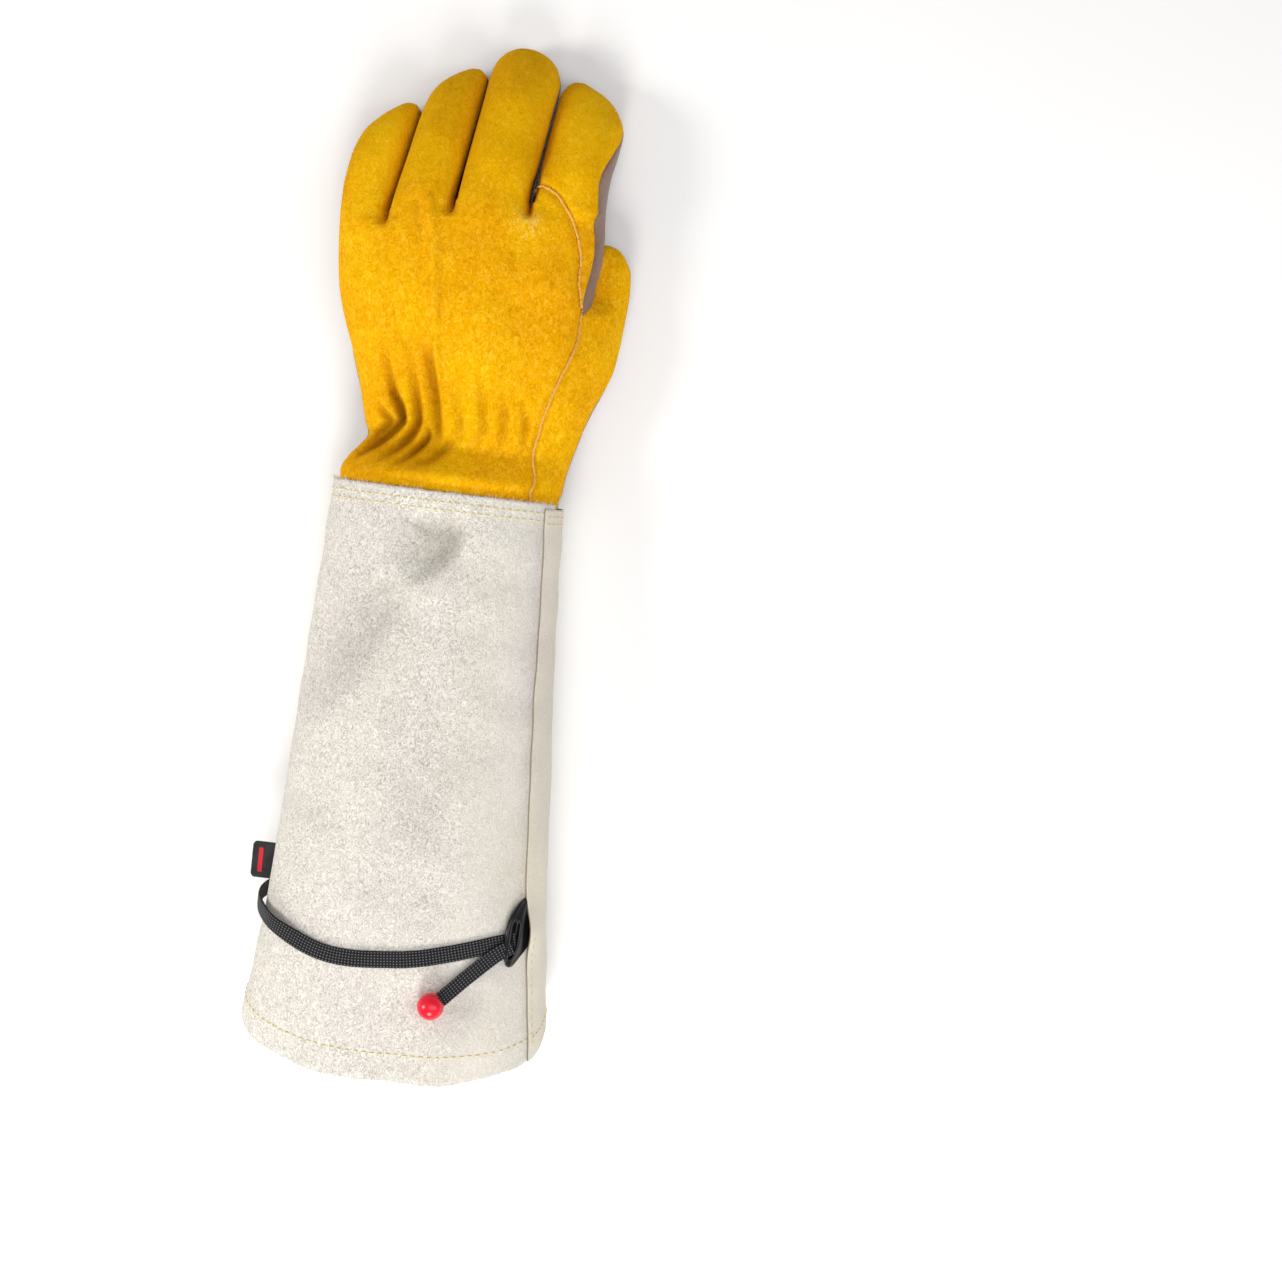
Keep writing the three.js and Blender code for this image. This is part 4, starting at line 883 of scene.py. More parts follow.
def buildHand(materials):
    # Four strips above and four below, joined and tucked in at their seams; the index finger's back is cut
    # out of the last strip along its seam.
    tops, fields = map(list, zip(*(handStrip(i, False) for i in range(4))))
    unders, underFields = map(list, zip(*(handStrip(i, True) for i in range(4))))
    joinStrips(tops)
    joinStrips(unders)
    for i in range(4):
        first = (120, 0, 0.7, 1.2) if i == 0 else (slits[i - 1][1], 0, 0.15, 1.0)
        last = (224, -1, 0.3, 1.0) if i == 3 else (slits[i][1], -1, 0.15, 1.0)
        tops[i] = dressTop(tuckEdge(tuckEdge(tops[i], fields[i], *first), fields[i], *last))
    unders[0] = tuckEdge(unders[0], underFields[0], 120, 0, 0.7, 1.2)
    unders[3] = tuckEdge(unders[3], underFields[3], 224, -1, 0.6, 1.1)
    tops[3] = snapTo(tops[3], indexSeam, 0.62)
    outline = list(smoothLine(indexSeam, 60)) + [(90, 222), (90, 360), (31.2, 360), (30.0, 327)]
    points, faces = joinGrids(tops)
    centre = points[faces[3]].mean(axis=1)
    inIndex = insidePlan(centre[:, 0], centre[:, 1], outline)
    # Painted shade with some grime: the gathers' depth over the crease scale sets how much the back is
    # darkened.
    creaseShadeAndGrime = creaseDepth(points[:, 0], points[:, 1], gathers) / hand["creaseShadeScale"]
    creaseShadeAndGrime *= smoothstep((points[:, 1] - 126) / 8)
    back = keepUsed("back", points, np.vstack(faces[:3] + [faces[3][~inIndex]]), materials["suede"], creaseShadeAndGrime)
    finishPiece(back, "yellow_suede", "back_panel")
    index = keepUsed("index_back", points, faces[3][inIndex], materials["suede"])
    finishPiece(index, "yellow_suede", "index_back")
    points, faces = joinGrids(unders)
    palm = keepUsed("palm", points, np.vstack(faces)[:, ::-1], materials["brown"])
    finishPiece(palm, "brown_leather", "palm_panel")
    for i, node in enumerate(("sidewall_little_ring", "sidewall_ring_middle", "sidewall_middle_index")):
        buildSideWall(i, node, tops, unders, materials["brown"])
    return tops


def keepUsed(name, points, faces, material, creaseShadeAndGrime=None):
    # A piece from some faces of a larger grid, with only the points that they use.
    used = np.unique(faces)
    renumber = np.zeros(len(points), int)
    renumber[used] = np.arange(len(used))
    return makeMesh(name, points[used], renumber[faces], material, weld=0.03, thickness=hand["wall"],
                    creaseShadeAndGrime=None if creaseShadeAndGrime is None else creaseShadeAndGrime[used])


def buildSideWall(i, node, tops, unders, material):
    # Strip between back and palm round one fork: down one finger's side and up the next one's.
    forkY = slits[i][1] - 1.2
    rows = []
    for strip, column in ((i, -1), (i + 1, 0)):
        upper, lower = tops[strip][:, column], unders[strip][:, column]
        rows.append(np.where((upper[:, 1] >= forkY) & (np.abs(upper[:, 2] - lower[:, 2]) > 0.5))[0])
    upper, lower = (np.vstack([sheet[i][rows[0], -1][::-1], sheet[i + 1][rows[1], 0]])
                    for sheet in (tops, unders))
    t = np.linspace(0, 1, 9)[None, :, None]
    points = upper[:, None, :] * (1 - t) + lower[:, None, :] * t
    steps = np.arange(len(points)) - len(rows[0])
    bulge = np.minimum(0.35, 0.03 * np.abs(upper[:, 2] - lower[:, 2])) * np.where(steps < 0, 1, -1)
    points[..., 0] += (bulge * np.minimum(1, np.abs(steps) / 12.0))[:, None] * np.sin(math.pi * t[..., 0])
    piece = makeMesh(node.replace("sidewall", "side_wall"), points, gridFaces(len(points), 9)[:, ::-1],
                     material, weld=0.02, thickness=0.9)
    finishPiece(piece, "brown_leather", node)


def buildThumb(materials):
    # Wing beside the thumb seam running out into the thumb: the hand's section turns into the thumb's. The
    # brown front closes it underneath.
    sharedRows = np.arange(112.0, 232.01, 1.1)
    tip = rowsToTip(thumbTable, sharedRows[-1], 0.5, 40)
    thumb = np.vstack([curveThrough(thumbTable, np.maximum(sharedRows, 158)), tip[:, 1:]])
    y = np.r_[sharedRows, tip[:, 0]]
    body = bodyFields(y)
    edge = curveThrough(thumbEdge, y)[:, 0]
    margin = 0.2 * (thumb[:, 2] - thumb[:, 4])
    edgeZ = np.clip(edge, thumb[:, 4] + margin, thumb[:, 2] - margin)
    a = np.linspace(0, 1, 33)[None, :]
    seamAt = thumbSeamX(y)
    bodyStart, bodyEnd = angleAtX(body, seamAt), angleAtHeight(body, edge)
    xB, zB = sectionPoints(body[:, None, :], bodyStart[:, None] + (bodyEnd - bodyStart)[:, None] * a)
    free = smoothstep((y - 219) / 15)
    thumbEnd = angleAtHeight(thumb, edgeZ)
    thumbStart = angleAtX(thumb, seamAt) * (1 - free) + (math.pi - thumbEnd) * free
    xT, zT = sectionPoints(thumb[:, None, :], thumbStart[:, None] + (thumbEnd - thumbStart)[:, None] * a)
    w = smoothstep((y - 158) / 38)[:, None]
    points = gridOf(xB * (1 - w) + xT * w, y, zB * (1 - w) + zT * w)
    held = (1 - smoothstep((y - 217) / 13))[:, None] * (1 - a) ** 2
    points[..., 0] += (seamAt - points[:, 0, 0])[:, None] * held
    points[..., 2] += (sectionPoints(body, bodyStart)[1] - points[:, 0, 2])[:, None] * held
    points = tuckEdge(points, np.where(w > 0.5, thumb, body), 100, -1, 0.7, 1.2)
    top = dressTop(points)
    piece = makeMesh("thumb", top, gridFaces(*top.shape[:2]), materials["suede"], weld=0.03,
                     thickness=hand["wall"])
    finishPiece(piece, "yellow_suede", "thumb_panel")
    low = y > 156
    start, end = thumbEnd[low], -math.pi - thumbEnd[low]
    angle = start[:, None] + (end - start)[:, None] * np.linspace(0, 1, 37)[None, :]
    xU, zU = sectionPoints(thumb[low][:, None, :], angle)
    lower = gridOf(xU, y[low], zU)
    pull = (1 - np.linspace(0, 1, 37)) ** 3
    lower += (points[low][:, -1] - lower[:, 0])[:, None, :] * pull[None, :, None]
    lower = tuckEdge(lower, thumb[low], 100, -1, 0.6, 1.2)
    piece = makeMesh("thumb_front", lower, gridFaces(*lower.shape[:2]), materials["brown"], weld=0.03,
                     thickness=1.2)
    finishPiece(piece, "brown_leather")
    return top


# Sizes of the gauntlet: grid, wall, lap under the band, rise of the band's edges, slack, half length.
cuff = {
    "around": 190,
    "along": 200,
    "wall": 1.9,
    "lap": 5.0,
    "bandRise": 1.5,
    "slack": 0.5,
    "reach": 129.5,
    # Depth of dent that gets the full painted shade.
    "creaseShadeScale": 8.0,
}
# Columns: y, left, right, top, side, bottom, how far the hem bows out at the middle of the top.
cuffTable = np.array([
    (129.5, -56, 54, 54.4, 26, -2, 0), (121, -56.2, 54.3, 54.6, 26, -2, 0),
    (109, -57, 55, 55.2, 26, -2, 0), (90, -58, 56, 56.8, 26.6, -2, 0),
    (70, -59.2, 57.2, 58.4, 27.4, -2, 0), (50, -60.2, 58.6, 60.2, 28.2, -2, 0),
    (31, -61.2, 59.8, 62, 29, -2, 0), (10, -62.2, 61.8, 64, 30, -2, 0),
    (-10, -63, 63.6, 66, 31, -2, 0), (-30, -63.8, 65.2, 68, 32, -2, 0),
    (-50, -64.6, 67, 69.8, 33, -2, 0), (-62, -65.2, 68.2, 70.8, 33.6, -2, 0.4),
    (-69, -65.6, 69, 71.4, 34, -2, 0.9), (-75.5, -66.2, 69.8, 72, 34.3, -2, 1.6),
    (-82, -67, 70.5, 72.8, 34.6, -2, 2.6), (-90, -67.8, 71.3, 73.8, 35, -2, 4.2),
    (-100, -68.9, 72.2, 75, 35.4, -2, 6.4), (-110, -70.1, 73.2, 76, 35.7, -2, 9.2),
    (-120, -71.4, 74.3, 77, 36, -2, 12.4), (-129.5, -72.6, 75.2, 77.8, 36, -2, 16),
], float)[::-1]
# Valleys pressed into the top: depth, slope width before and after the line, then x, y and share along it.
cuffFolds = [
    (8.8, 23, 4.6, [
        (6.4, 124, 0.2), (6, 113, 1), (4, 104, 0.9), (-4, 95, 0.6), (-14, 87, 0.1),
    ]),
    (5.2, 15, 9, [
        (-14, 88, 0.1), (-22, 74, 0.9), (-29, 60, 1), (-37, 45, 0.8), (-46, 30, 0.5), (-56, 18, 0.1),
    ]),
    (2.4, 18, 12, [
        (34, 30, 0.1), (22, 10, 0.9), (10, -14, 1), (2, -36, 0.2),
    ]),
    (1.7, 16, 12, [
        (-36, 8, 0.1), (-44, -18, 1), (-52, -44, 0.2),
    ]),
    (2, 18, 12, [
        (44, -92, 0.1), (34, -104, 1), (20, -122, 0.8), (12, -138, 0.2),
    ]),
    (1.3, 14, 12, [
        (36, 112, 0.2), (38, 92, 1), (34, 66, 0.1),
    ]),
]
# Line of the side band's edge on the top: y, x.
bandLine = np.array([
    (-160, 72), (-119, 66.5), (-84, 61.4), (-57, 58.4), (-24, 55.6), (29, 51.6), (67, 49.6),
    (122, 46.2), (140, 46.2),
], float)
# Where the strap crosses underneath, and the line through the gauntlet's middle.
strapUnderY = -76.0
cuffMiddle = np.array([0.0, 0.0, 34.0])


def dentDepth(x, y):
    # Depth of the gauntlet's valleys, faded out under its upper edge.
    return creaseDepth(x, y, cuffFolds) * np.clip((124 - y) / 12, 0, 1)


def cuffPoints(sectionY, angle, slack):
    # Sections bowed out at the hem, with the dents above, the strap's channel below and the slack all round.
    fields = curveThrough(cuffTable, sectionY)
    x, z = sectionPoints(fields[..., :5], angle)
    sine = np.sin(angle)
    y = sectionY - fields[..., 5] * np.where(sine > 0, 1, 0.45) * np.abs(sine) ** 1.2
    dent = dentDepth(x, y) * np.clip(2.2 * sine, 0, 1)
    fall = np.clip(1 - np.clip(np.abs(sectionY - strapUnderY) - 6.6, 0, None) / 5, 0, 1)
    channel = 2.3 * fall * np.clip(-3 * sine, 0, 1)
    loose = smoothstep((126 - y) / 10)
    z0 = z - dent + channel + waviness(x, y, slack) * np.clip(1.5 * sine, 0, 1) * loose
    x0 = x + np.sign(np.cos(angle)) * waviness(z, y, 0.6 * slack) * np.cos(angle) ** 2 * loose
    return np.stack([x0, y, z0], axis=-1)


def cuffPatch(shift, rows, columns, wrap):
    # Grid round the gauntlet from one side of the band to the other, the long way or the short way.
    sectionY = np.linspace(cuff["reach"], -cuff["reach"], rows)
    fields = curveThrough(cuffTable, sectionY)[:, :5]
    line = np.interp(sectionY - 6, bandLine[:, 0], bandLine[:, 1]) + shift
    start, end = angleAtX(fields, line), -angleAtX(fields, line, bottomRound)
    first, last = (start, end + 2 * math.pi) if wrap else (end, start)
    angle = first[:, None] + (last - first)[:, None] * np.linspace(0, 1, columns)[None, :]
    return cuffPoints(sectionY[:, None] + 0 * angle, angle, cuff["slack"]), angle


def buildCuff(materials):
    # The wide panel with its uneven cut edges, and the band over its seam, raised along both of its sides.
    panel, panelAngle = cuffPatch(cuff["lap"], cuff["along"], cuff["around"], True)
    hem = np.linspace(0, 1, panel.shape[0])[:, None]
    panel[..., 1] += 0.5 * np.sin(panelAngle * 9) * smoothstep((hem - 0.97) / 0.03)
    panel[0, :, 1] += rng.normal(0, 0.16, panel.shape[1])
    panel[-1, :, 1] += rng.normal(0, 0.16, panel.shape[1])
    # Painted shade with some grime: the dents' depth over the crease scale darkens the panel's top.
    creaseShadeAndGrime = dentDepth(panel[..., 0], panel[..., 1]) / cuff["creaseShadeScale"] * (panel[..., 2] > 36)
    piece = makeMesh("gauntlet", panel, orientOut(panel), materials["split"], thickness=cuff["wall"],
                     creaseShadeAndGrime=creaseShadeAndGrime)
    finishPiece(piece, "white_split_leather", "cuff_panel")
    band, _ = cuffPatch(0.0, cuff["along"], 60, False)
    across = np.linspace(0, 1, band.shape[1])[None, :]
    edge = np.maximum(bell(across, 0.16), bell(1 - across, 0.16))
    rise = (0.35 + (cuff["bandRise"] - 0.35) * edge) * np.ones(band.shape[:2])
    rise += 3.0 * bell(band[..., 1] + 72, 10.5) * bell(1 - across, 0.2)
    band = band + outwardNormals(band) * rise[..., None]
    band[..., 1] -= 2.4 * smoothstep((np.linspace(1, 0, band.shape[0])[:, None] - 0.9) / 0.1)
    piece = makeMesh("side_band", band, orientOut(band), materials["splitBand"], thickness=0.9)
    # The band's rim takes a dark grey: its raw cut edge, and painted shadow where the band's edge stands over
    # the panel.
    piece.data.materials.append(materials["cutEdgeAndShadow"])
    piece.modifiers["wall"].material_offset_rim = 1
    finishPiece(piece, "white_split_leather", "cuff_side_band")
    return panel, band


def outwardNormals(points):
    # The grid's normals, turned away from the line through the gauntlet's middle.
    normals = gridNormals(points)
    away = points - cuffMiddle
    away[..., 1] = 0
    return normals if np.sum(normals * away) > 0 else -normals


def orientOut(points):
    # The grid's faces, turned to point away from the line through the gauntlet's middle.
    faces = gridFaces(*points.shape[:2])
    flat = points.reshape(-1, 3)
    a, b, c = (flat[faces[:, k]] for k in range(3))
    away = a - cuffMiddle
    away[:, 1] = 0
    return faces if np.sum(np.cross(b - a, c - a) * away) > 0 else faces[:, ::-1]


# The webbing and the ribs of its weave, drawn coarser than the real one.
strap = {
    "width": 8.0, "tailWidth": 7.4, "thickness": 1.5, "lift": 1.15, "samples": 520, "ribPitch": 1.15,
    "ribDepth": 0.16,
}
# Over the gauntlet: x, y, slack above the leather.
strapOver = [
    (56.6, -75.6, 0), (50, -76.8, 0.2), (42, -78.8, 0.4), (32, -81.8, 0), (16, -85.6, 0), (1, -88, 0),
    (-14, -89.4, 0), (-28, -89.4, 0), (-38, -87.6, 0.2), (-47, -84.6, 0.6),
]
# Round the sides and underneath: x, y, z.
strapAround = [
    (-56.5, -81, 63.2), (-64, -78.6, 53.6), (-69, -77.2, 42), (-70.4, -76.2, 31), (-68.4, -76, 18),
    (-62.6, -76, 8.2), (-52, -76, 2.9), (-40, -76, 0.95), (0, -76, 0.85), (40, -76, 0.95), (52, -76, 2.7),
    (58.4, -76, 6.2), (62.6, -76, 13.2), (65.4, -76, 22), (66.6, -76, 34), (65.4, -76, 46),
    (62.8, -76, 55),
]
# The loose tail: x, y, slack above the leather.
tailLine = [
    (54.4, -78, 2.3), (49, -81.4, 2.3), (43, -87, 1.6), (36.5, -93.2, 1.2), (30, -99, 2.6),
    (24.4, -103.6, 5.2), (22.2, -105.4, 5.6),
]


def strapPath(surface, count):
    # Smooth line over the leather, then round the side, underneath and up inside the band.
    plan = smoothLine(strapOver, 150, 2)
    points, normals = onSurface(surface, plan[:, 0], plan[:, 1])
    kernel = np.hanning(23) / np.hanning(23).sum()
    evened = np.convolve(np.pad(points[:, 2], 11, mode="edge"), kernel, mode="valid")
    points[:, 2] = np.maximum(points[:, 2] - 0.15, evened)
    points += normals * (strap["lift"] + plan[:, 2:3])
    around = np.array(strapAround, float)
    outward = around * [0.72, 0, 1] - cuffMiddle
    outward[around[:, 2] < 3] = (0, 0, -1)
    first = np.hstack([points[::12], normals[::12]])
    line = smoothLine(np.vstack([first, np.hstack([around, unit(outward)])]), count)
    return line[:, :3], line[:, 3:]


def ribbon(name, path, outwards, width, thickness, material):
    # Flat webbing: a rounded oblong carried along the path, its edges stepped by the ribs of the weave.
    along = unit(np.gradient(path, axis=0))
    across = unit(np.cross(along, outwards))
    run = runOf(path)
    angle = np.linspace(0, 2 * math.pi, 26, endpoint=False)
    shapeX = np.sign(np.cos(angle)) * np.abs(np.cos(angle)) ** 0.45
    shapeZ = np.sign(np.sin(angle)) * np.abs(np.sin(angle)) ** 0.7
    rib = 1 - strap["ribDepth"] / (width / 2) * (0.5 + 0.5 * np.cos(2 * math.pi * run / strap["ribPitch"]))
    rings = ringsAlong(path, across, np.cross(across, along), width / 2 * shapeX[None, :] * rib[:, None],
                       thickness / 2 * shapeZ[None, :])
    uv = np.stack([np.repeat(run, len(angle)), np.tile(width / 2 * shapeX, len(path))], axis=1)
    return closedLoft(name, rings, material, uv), run[-1]


def buildStrap(materials, surface):
    # The loop round the gauntlet, and the loose tail lying on it towards the ball.
    path, outwards = strapPath(surface, strap["samples"])
    piece, whole = ribbon("strap", path, outwards, strap["width"], strap["thickness"], materials["webbing"])
    finishPiece(piece, "black_webbing", "strap")
    plan = smoothLine(tailLine, 130, 2)
    points, outwards = onSurface(surface, plan[:, 0], plan[:, 1], strap["lift"] + plan[:, 2])
    line = smoothLine(np.hstack([points, outwards])[::8], 130)
    piece, tail = ribbon("strap_tail", line[:, :3], line[:, 3:], strap["tailWidth"], strap["thickness"],
                         materials["webbing"])
    finishPiece(piece, "black_webbing", "strap_tail")
    print("stage: strap loop", round(float(whole), 1), "mm, tail", round(float(tail), 1), "mm")


# Slider buckle: y, left edge, right edge (under the side band), height of its rim.
buckleTable = np.array([
    (-88.6, 55.7, 56.7, 0.5), (-88, 54.9, 57.3, 2), (-86.6, 53.9, 58.4, 3.2),
    (-84.4, 53.1, 59.9, 4), (-81.5, 52.7, 62, 4.5), (-78, 52.4, 64, 4.8),
    (-72, 52.2, 65, 5), (-66.5, 52.8, 64.6, 4.8), (-61.8, 54.7, 64, 4.2),
    (-59, 56.5, 63.4, 3.4), (-57.2, 58.1, 62.6, 2), (-56.6, 59, 61.6, 0.5),
], float)
# Its section from the left edge: share of the way across, share of the rim's height, depth of the slot there.
buckleSection = np.array([
    (0, 0.25, 0), (0, 0.62, 0), (0.035, 0.86, 0), (0.09, 0.98, 0), (0.15, 1, 0), (0.21, 0.96, 0.12),
    (0.26, 0.9, 0.5), (0.31, 0.88, 0.9), (0.36, 0.87, 1), (0.41, 0.86, 0.9), (0.46, 0.86, 0.35),
    (0.52, 0.88, 0.05), (0.58, 0.8, 0), (0.68, 0.56, 0), (0.85, 0.3, 0), (1, 0.12, 0), (1, 0.04, 0),
    (0.7, 0, 0), (0.35, 0, 0), (0, 0, 0),
], float)
# Ends of its slot along y, and the slot's greatest depth as a share of the rim.
buckleSlot = (-85.2, -64.6, 0.62)


def buildBuckle(materials, surface):
    # Moulded loop lying on the leather: a rounded rim, one long slot and a bar, its far side under the band.
    t = 0.5 - 0.5 * np.cos(np.linspace(0, math.pi, 90))
    y = buckleTable[0, 0] + (buckleTable[-1, 0] - buckleTable[0, 0]) * t
    left, right, rim = curveThrough(buckleTable, y).T
    x = left[:, None] + (right - left)[:, None] * buckleSection[None, :, 0]
    yy = np.repeat(y[:, None], x.shape[1], 1)
    ground = onSurface(surface, x.ravel(), yy.ravel())[0][:, 2].reshape(x.shape)
    first, last, deepest = buckleSlot
    depth = (deepest * smoothstep((y - first) / 3) * smoothstep((last - y) / 4))[:, None]
    height = rim[:, None] * (buckleSection[None, :, 1] - depth * buckleSection[None, :, 2])
    rings = np.stack([x, yy, ground + 0.35 + height], axis=-1)
    finishPiece(closedLoft("buckle", rings, materials["black"]), "black_plastic", "buckle")


# The stopper: radius, middle in plan, radius of its mouth and where the mouth faces.
ball = {"radius": 6.2, "x": 21.5, "y": -106.0, "mouth": 2.6, "faces": (0.72, 0.62, -0.12)}


def buildBall(materials, surface):
    # A half circle from the mouth's lip to the far side, turned about the line of the webbing.
    centre = onSurface(surface, ball["x"], ball["y"], ball["radius"] + 0.3)[0][0]
    mouth = unit(np.array(ball["faces"]))
    side = unit(np.cross(mouth, [0, 0, 1.0]))
    angle = np.linspace(math.asin(ball["mouth"] / ball["radius"]), math.pi - 0.001, 48)
    radius, depth = ball["radius"] * np.sin(angle), ball["radius"] * np.cos(angle)
    lip = [(0.02, 1.9), (ball["mouth"] - 0.5, 2.0), (ball["mouth"] - 0.45, depth[0] - 0.5),
           (ball["mouth"] - 0.25, depth[0] - 0.05)]
    profile = np.vstack([lip, np.column_stack([radius, depth])])
    turn = np.linspace(0, 2 * math.pi, 64, endpoint=False)
    points = ringsAlong(centre + mouth * profile[:, 1:], side[None, :], np.cross(side, mouth)[None, :],
                        profile[:, :1] * np.cos(turn), profile[:, :1] * np.sin(turn))
    piece = makeMesh("stopper_ball", points, gridFaces(*points.shape[:2], closed=True), materials["red"],
                     weld=0.05)
    turnOutward(piece)
    finishPiece(piece, "red_plastic", "ball")


# Plate sewn into the side and the bar on it: corners x, y, heights of their middles above the ground.
tab = {
    "low": (-75.8, -67.6), "high": (-63.0, -49.6), "corner": 2.2, "height": 36.0, "thickness": 1.3,
    "barLow": (-72.6, -64.6), "barHigh": (-70.4, -52.4), "barCorner": 0.6, "barHeight": 36.68,
    "barThickness": 0.3,
}
# Rings of a plate: share of the way out, share of the soft edge taken off, share of the thickness.
plateRings = np.array([
    (0, 0, 0.5), (0.5, 0, 0.5), (0.9, 0, 0.5), (1, 1, 0.5), (1, 0.3, 0.42), (1, 0, 0.2), (1, 0, -0.2),
    (1, 0.3, -0.42), (1, 1, -0.5), (0.5, 0, -0.5), (0, 0, -0.5),
], float)


def roundedPlate(name, low, high, corner, z, thickness, material):
    # Rounded rectangle with soft edges, built as rings from the middle out and back underneath.
    turn = np.radians(90 * np.arange(4)[:, None] + np.linspace(0, 90, 9)[None, :])
    (x0, y0), (x1, y1) = np.array(low) + corner, np.array(high) - corner
    corners = np.array([(x1, y1), (x0, y1), (x0, y0), (x1, y0)])[:, None, :]
    outline = (corners + corner * np.stack([np.cos(turn), np.sin(turn)], axis=-1)).reshape(-1, 2)
    middle = (np.array(low) + np.array(high)) / 2
    away = outline - middle
    share, inset, height = plateRings.T[:, :, None, None]
    length = np.linalg.norm(away, axis=1)[None, :, None]
    place = middle + away * share * (1 - inset * min(0.3, thickness / 3) / length)
    points = np.concatenate([place, z + thickness * height * np.ones_like(place[..., :1])], axis=-1)
    piece = makeMesh(name, points, gridFaces(*points.shape[:2], closed=True), material, weld=0.01)
    turnOutward(piece)
    return piece


def buildTab(materials):
    # Small plate sewn into the side, with a plain raised bar.
    piece = roundedPlate("label_tab", tab["low"], tab["high"], tab["corner"], tab["height"], tab["thickness"],
                         materials["tab"])
    finishPiece(piece, "black_label", "label_tab")
    bar = roundedPlate("label_bar", tab["barLow"], tab["barHigh"], tab["barCorner"], tab["barHeight"],
                       tab["barThickness"], materials["redTab"])
    finishPiece(bar, "black_label")


def onGrid(points, row, column):
    # A place between rows and columns of a grid, weighted by its distances to the four around it.
    r = np.clip(row, 0, points.shape[0] - 1.001)
    c = np.clip(column, 0, points.shape[1] - 1.001)
    i, j = r.astype(int), c.astype(int)
    u, v = (r - i)[:, None], (c - j)[:, None]
    return (points[i, j] * (1 - u) * (1 - v) + points[i + 1, j] * u * (1 - v) + points[i, j + 1] * (1 - u) * v
            + points[i + 1, j + 1] * u * v)


def sewAlong(name, sheet, row, column, material, length, gap, radius):
    # Separate thread stitches laid along a line on a sheet, each arching a little out of the leather.
    row, column = np.broadcast_arrays(row, column)
    path, normals = onGrid(sheet, row, column), onGrid(outwardNormals(sheet), row, column)
    run = runOf(path)
    starts = np.arange(0.6, run[-1] - length, length + gap)
    t = np.linspace(0, 1, 7)
    thin = radius * np.sqrt(np.clip(1 - (2 * t[:, None] - 1) ** 4, 0.02, 1))
    angle = np.linspace(0, 2 * math.pi, 6, endpoint=False)
    wander = np.random.default_rng(len(starts))
    stitches = []
    for start in starts:
        at = start + (length * wander.uniform(0.9, 1.04)) * t
        centre = np.stack([np.interp(at, run, path[:, i]) for i in range(3)], axis=1)
        out = unit(np.stack([np.interp(at, run, normals[:, i]) for i in range(3)], axis=1))
        side = np.cross(unit(np.gradient(centre, axis=0)), out)
        centre = centre + out * (radius * (1.3 * np.sin(math.pi * t) - 0.9) + 0.12)[:, None]
        centre = centre + side * wander.normal(0, 0.07)
        stitches.append(ringsAlong(centre, side, out, thin * np.cos(angle), thin * np.sin(angle)))
    points = np.array(stitches)
    points[..., 2] = np.maximum(points[..., 2], 0)
    faces = np.vstack([gridFaces(7, 6, closed=True, base=42 * k) for k in range(len(starts))])
    finishPiece(makeMesh(name, points, faces, material), "white_split_leather")


# The bead: spacing of its rings, width, height, lift above the leather, sideways wander.
seamEdge = {"step": 0.4, "width": 1.4, "height": 1.4, "lift": 0.45, "wander": 0.1}


def buildSeamEdge(name, line, surface, material):
    # Raw cut edge standing in the seam: a thin uneven bead carried along it.
    length = runOf(smoothLine(line, 40, 2))[-1]
    plan = smoothLine(line, int(length / seamEdge["step"]), 2)
    wander = np.random.default_rng(11)
    jitter = np.convolve(wander.normal(0, 1, len(plan) + 8), np.ones(9) / 3.0, mode="valid")
    plan[:, 0] += seamEdge["wander"] * jitter
    points, outwards = onSurface(surface, plan[:, 0], plan[:, 1], seamEdge["lift"])
    points = smoothLine(points[::3], len(points))
    outwards = unit(smoothLine(np.hstack([points, outwards]), len(points))[:, 3:])
    across = unit(np.cross(unit(np.gradient(points, axis=0)), outwards))
    angle = np.linspace(0, 2 * math.pi, 8, endpoint=False)
    rough = 1 + 0.16 * wander.normal(0, 1, (len(points), 8))
    rings = ringsAlong(points, across, outwards, seamEdge["width"] / 2 * rough * np.cos(angle),
                       seamEdge["height"] / 2 * rough * np.sin(angle))
    finishPiece(closedLoft(name, rings, material), "yellow_suede")


def looseFibres(name, sheet, row, count, lengths, radius, material, seed):
    # Stray fibres: short thin tapering curls that start on a cut edge, each bent by a share of its length.
    ahead = 1.0 if row == 0 else -1.0
    directions = outwardNormals(sheet)[row, 4:-4] * 0.25 + np.array([0, ahead, 0])
    roots = sheet[row, 4:-4] - directions * 0.2
    wander = np.random.default_rng(seed)
    pick = wander.integers(0, len(roots), count)
    start, ahead = roots[pick], unit(directions[pick] + wander.normal(0, 0.45, (count, 3)))
    bend = unit(np.cross(ahead, wander.normal(0, 1, (count, 3))))
    length = wander.uniform(*lengths, count)[:, None, None]
    t = np.linspace(0, 1, 7)[None, :, None]
    curl = wander.uniform(-0.5, 0.5, (count, 1, 1))
    path = start[:, None, :] + length * (ahead[:, None, :] * t + bend[:, None, :] * (curl * t * t))
    path[..., 2] = np.maximum(path[..., 2], radius)
    thin = radius * (1 - 0.7 * t)
    angle = np.linspace(0, 2 * math.pi, 4, endpoint=False)
    rings = ringsAlong(path, bend[:, None, :], np.cross(ahead, bend)[:, None, :], thin * np.cos(angle),
                       thin * np.sin(angle))
    faces = np.vstack([gridFaces(7, 4, closed=True, base=28 * k) for k in range(count)])
    finishPiece(makeMesh(name, rings, faces, material), "white_split_leather")


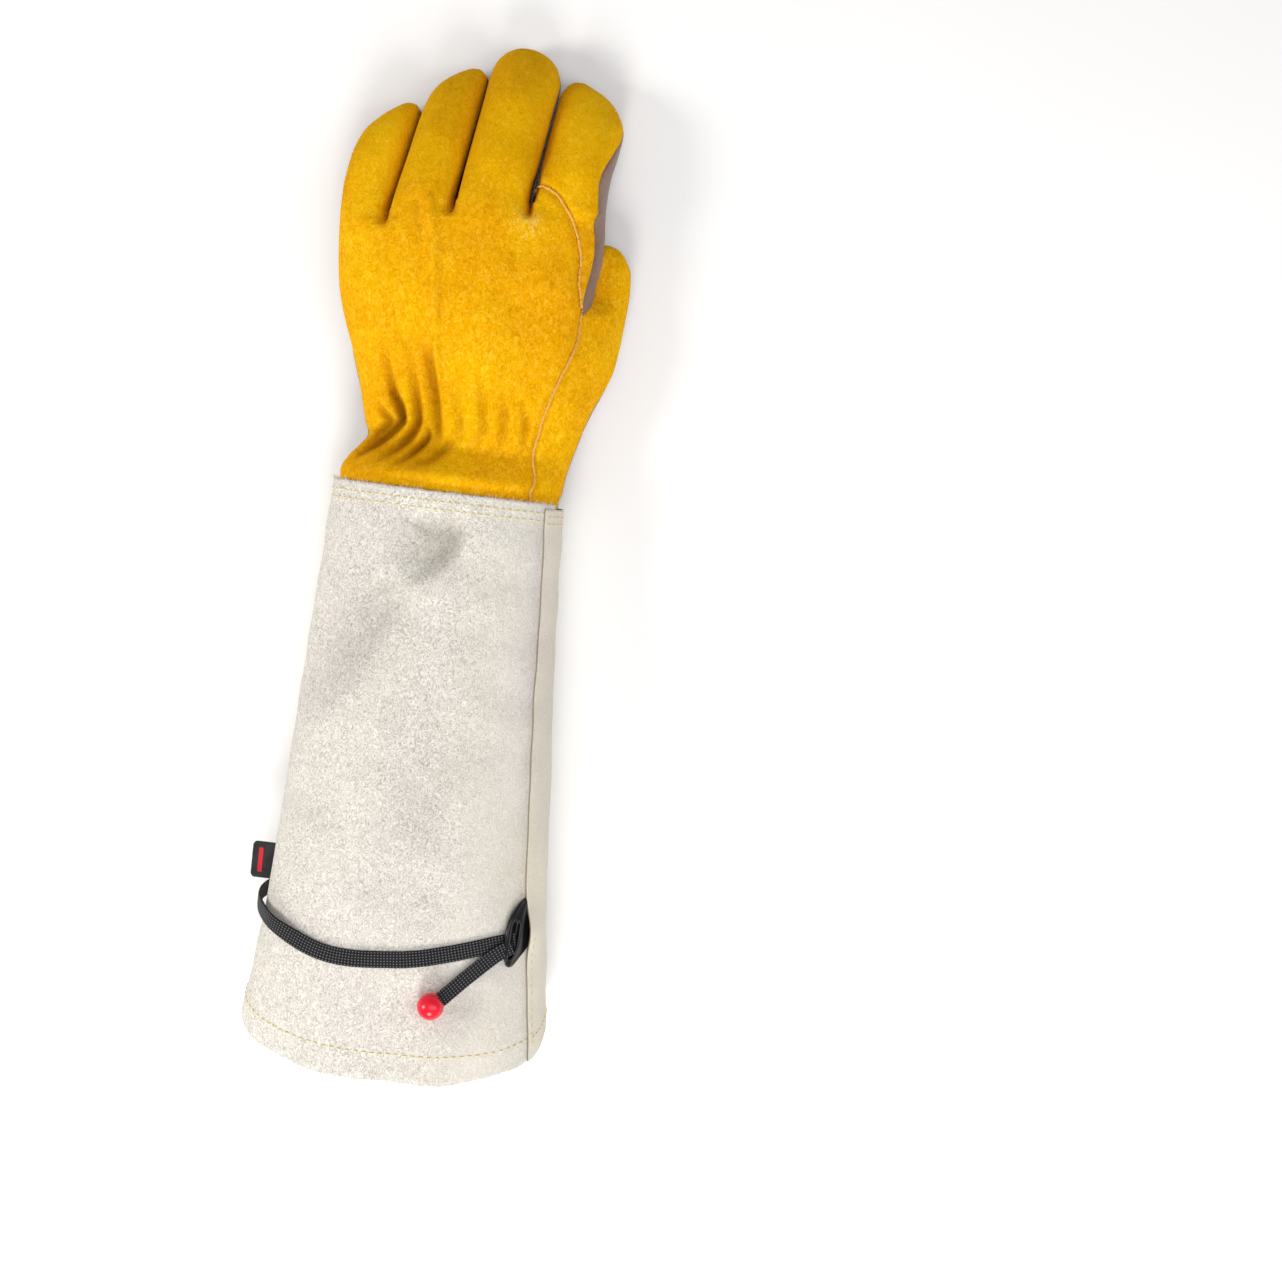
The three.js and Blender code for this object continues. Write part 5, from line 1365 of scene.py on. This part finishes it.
def buildStitching(materials, panel, band, handTop):
    # Rows of stitches at set distances from the cut edges, the raw seam edges and the stray fibres.
    thread = materials["thread"]
    rows = panel.shape[0]
    step = 2 * cuff["reach"] / (rows - 1)
    hemRow = rows - 1 - 9.5 / step
    c = np.linspace(6, panel.shape[1] - 7, 700)
    for k, away in enumerate((4.6, 8.2)):
        sewAlong("edge_stitch_%d" % k, panel, away / step, c, thread, 2.6, 0.9, 0.28)
    sewAlong("hem_stitch", panel, hemRow, c, thread, 2.8, 1.0, 0.28)
    c = np.linspace(1.2, band.shape[1] - 2.2, 300)
    for k, away in enumerate((4.0, 7.6)):
        sewAlong("band_stitch_%d" % k, band, away / step, c, thread, 2.6, 0.9, 0.28)
    sewAlong("band_hem_stitch", band, hemRow, c, thread, 2.8, 1.0, 0.28)
    r = np.linspace(rows - 44, rows - 4, 200)
    sewAlong("band_edge_stitch", band, r, band.shape[1] - 4.2, thread, 2.8, 1.1, 0.26)
    buildSeamEdge("index_seam_edge", indexSeam, handTop, materials["rawEdge"])
    buildSeamEdge("thumb_seam_edge", thumbSeam, handTop, materials["rawEdge"])
    looseFibres("edge_fibres", panel, 0, 420, (0.7, 2.4), 0.075, materials["fibre"], 3)
    looseFibres("hem_fibres", panel, -1, 300, (0.6, 1.8), 0.07, materials["fibre"], 5)


makeCamera()
makeLights()
print("stage: camera and lights")
materials = {
    "suede": makeSuede("yellow_split_suede"),
    "brown": makeBrownLeather(),
    "split": makeSplitLeather("undyed_split_leather", "#ffffff", 0.62),
    "splitBand": makeSplitLeather("undyed_split_leather_band", "#fffdf6", 0.34),
    "webbing": makeWebbing(),
    "black": makeMoulded("black_moulded_nylon", "#08080a", "#121214", 0.3, 0.15),
    "red": makeMoulded("red_moulded_acrylic", "#e2122c", "#ee1c38", 0.26, 0.25),
    "tab": makeMoulded("black_moulded_rubber", "#1b1b1d", "#2b2b2e", 0.55, 0.0),
    "redTab": makeMoulded("red_moulded_rubber", "#b81a2a", "#cc2434", 0.5, 0.0),
    "thread": makeThread("pale_yellow_polyester_thread", "#cdbb5a", "#e8dc98"),
    "rawEdge": makeThread("raw_tan_leather_edge", "#cc922c", "#f4c25c"),
    # Dark grey of the band's rim: the raw cut edge, with painted shadow along it.
    "cutEdgeAndShadow": makeThread("cut_edge_of_split_leather_and_painted_shadow", "#857c6c", "#a39a88"),
    "fibre": makeThread("loose_leather_fibre", "#d8c9a4", "#f4ecd8"),
    "floor": makeFloor(),
}
tops = buildHand(materials)
print("stage: hand")
thumbTop = buildThumb(materials)
print("stage: thumb")
panel, band = buildCuff(materials)
print("stage: gauntlet")
cuffTop = surfaceOf(panel, above=36.5)
buildStrap(materials, cuffTop)
buildBuckle(materials, cuffTop)
buildBall(materials, cuffTop)
buildTab(materials)
print("stage: buckle, ball and tab")
buildStitching(materials, panel, band, surfaceOf(*tops, thumbTop, above=24.0))
print("stage: stitching")

floorSize = 3000.0
floorCorners = np.array([(-1, -1, 0), (1, -1, 0), (1, 1, 0), (-1, 1, 0)])
floorPoints = floorCorners * floorSize - [0, 0, 0.15]
floor = makeMesh("floor", floorPoints, np.array([[0, 1, 2, 3]]), materials["floor"])
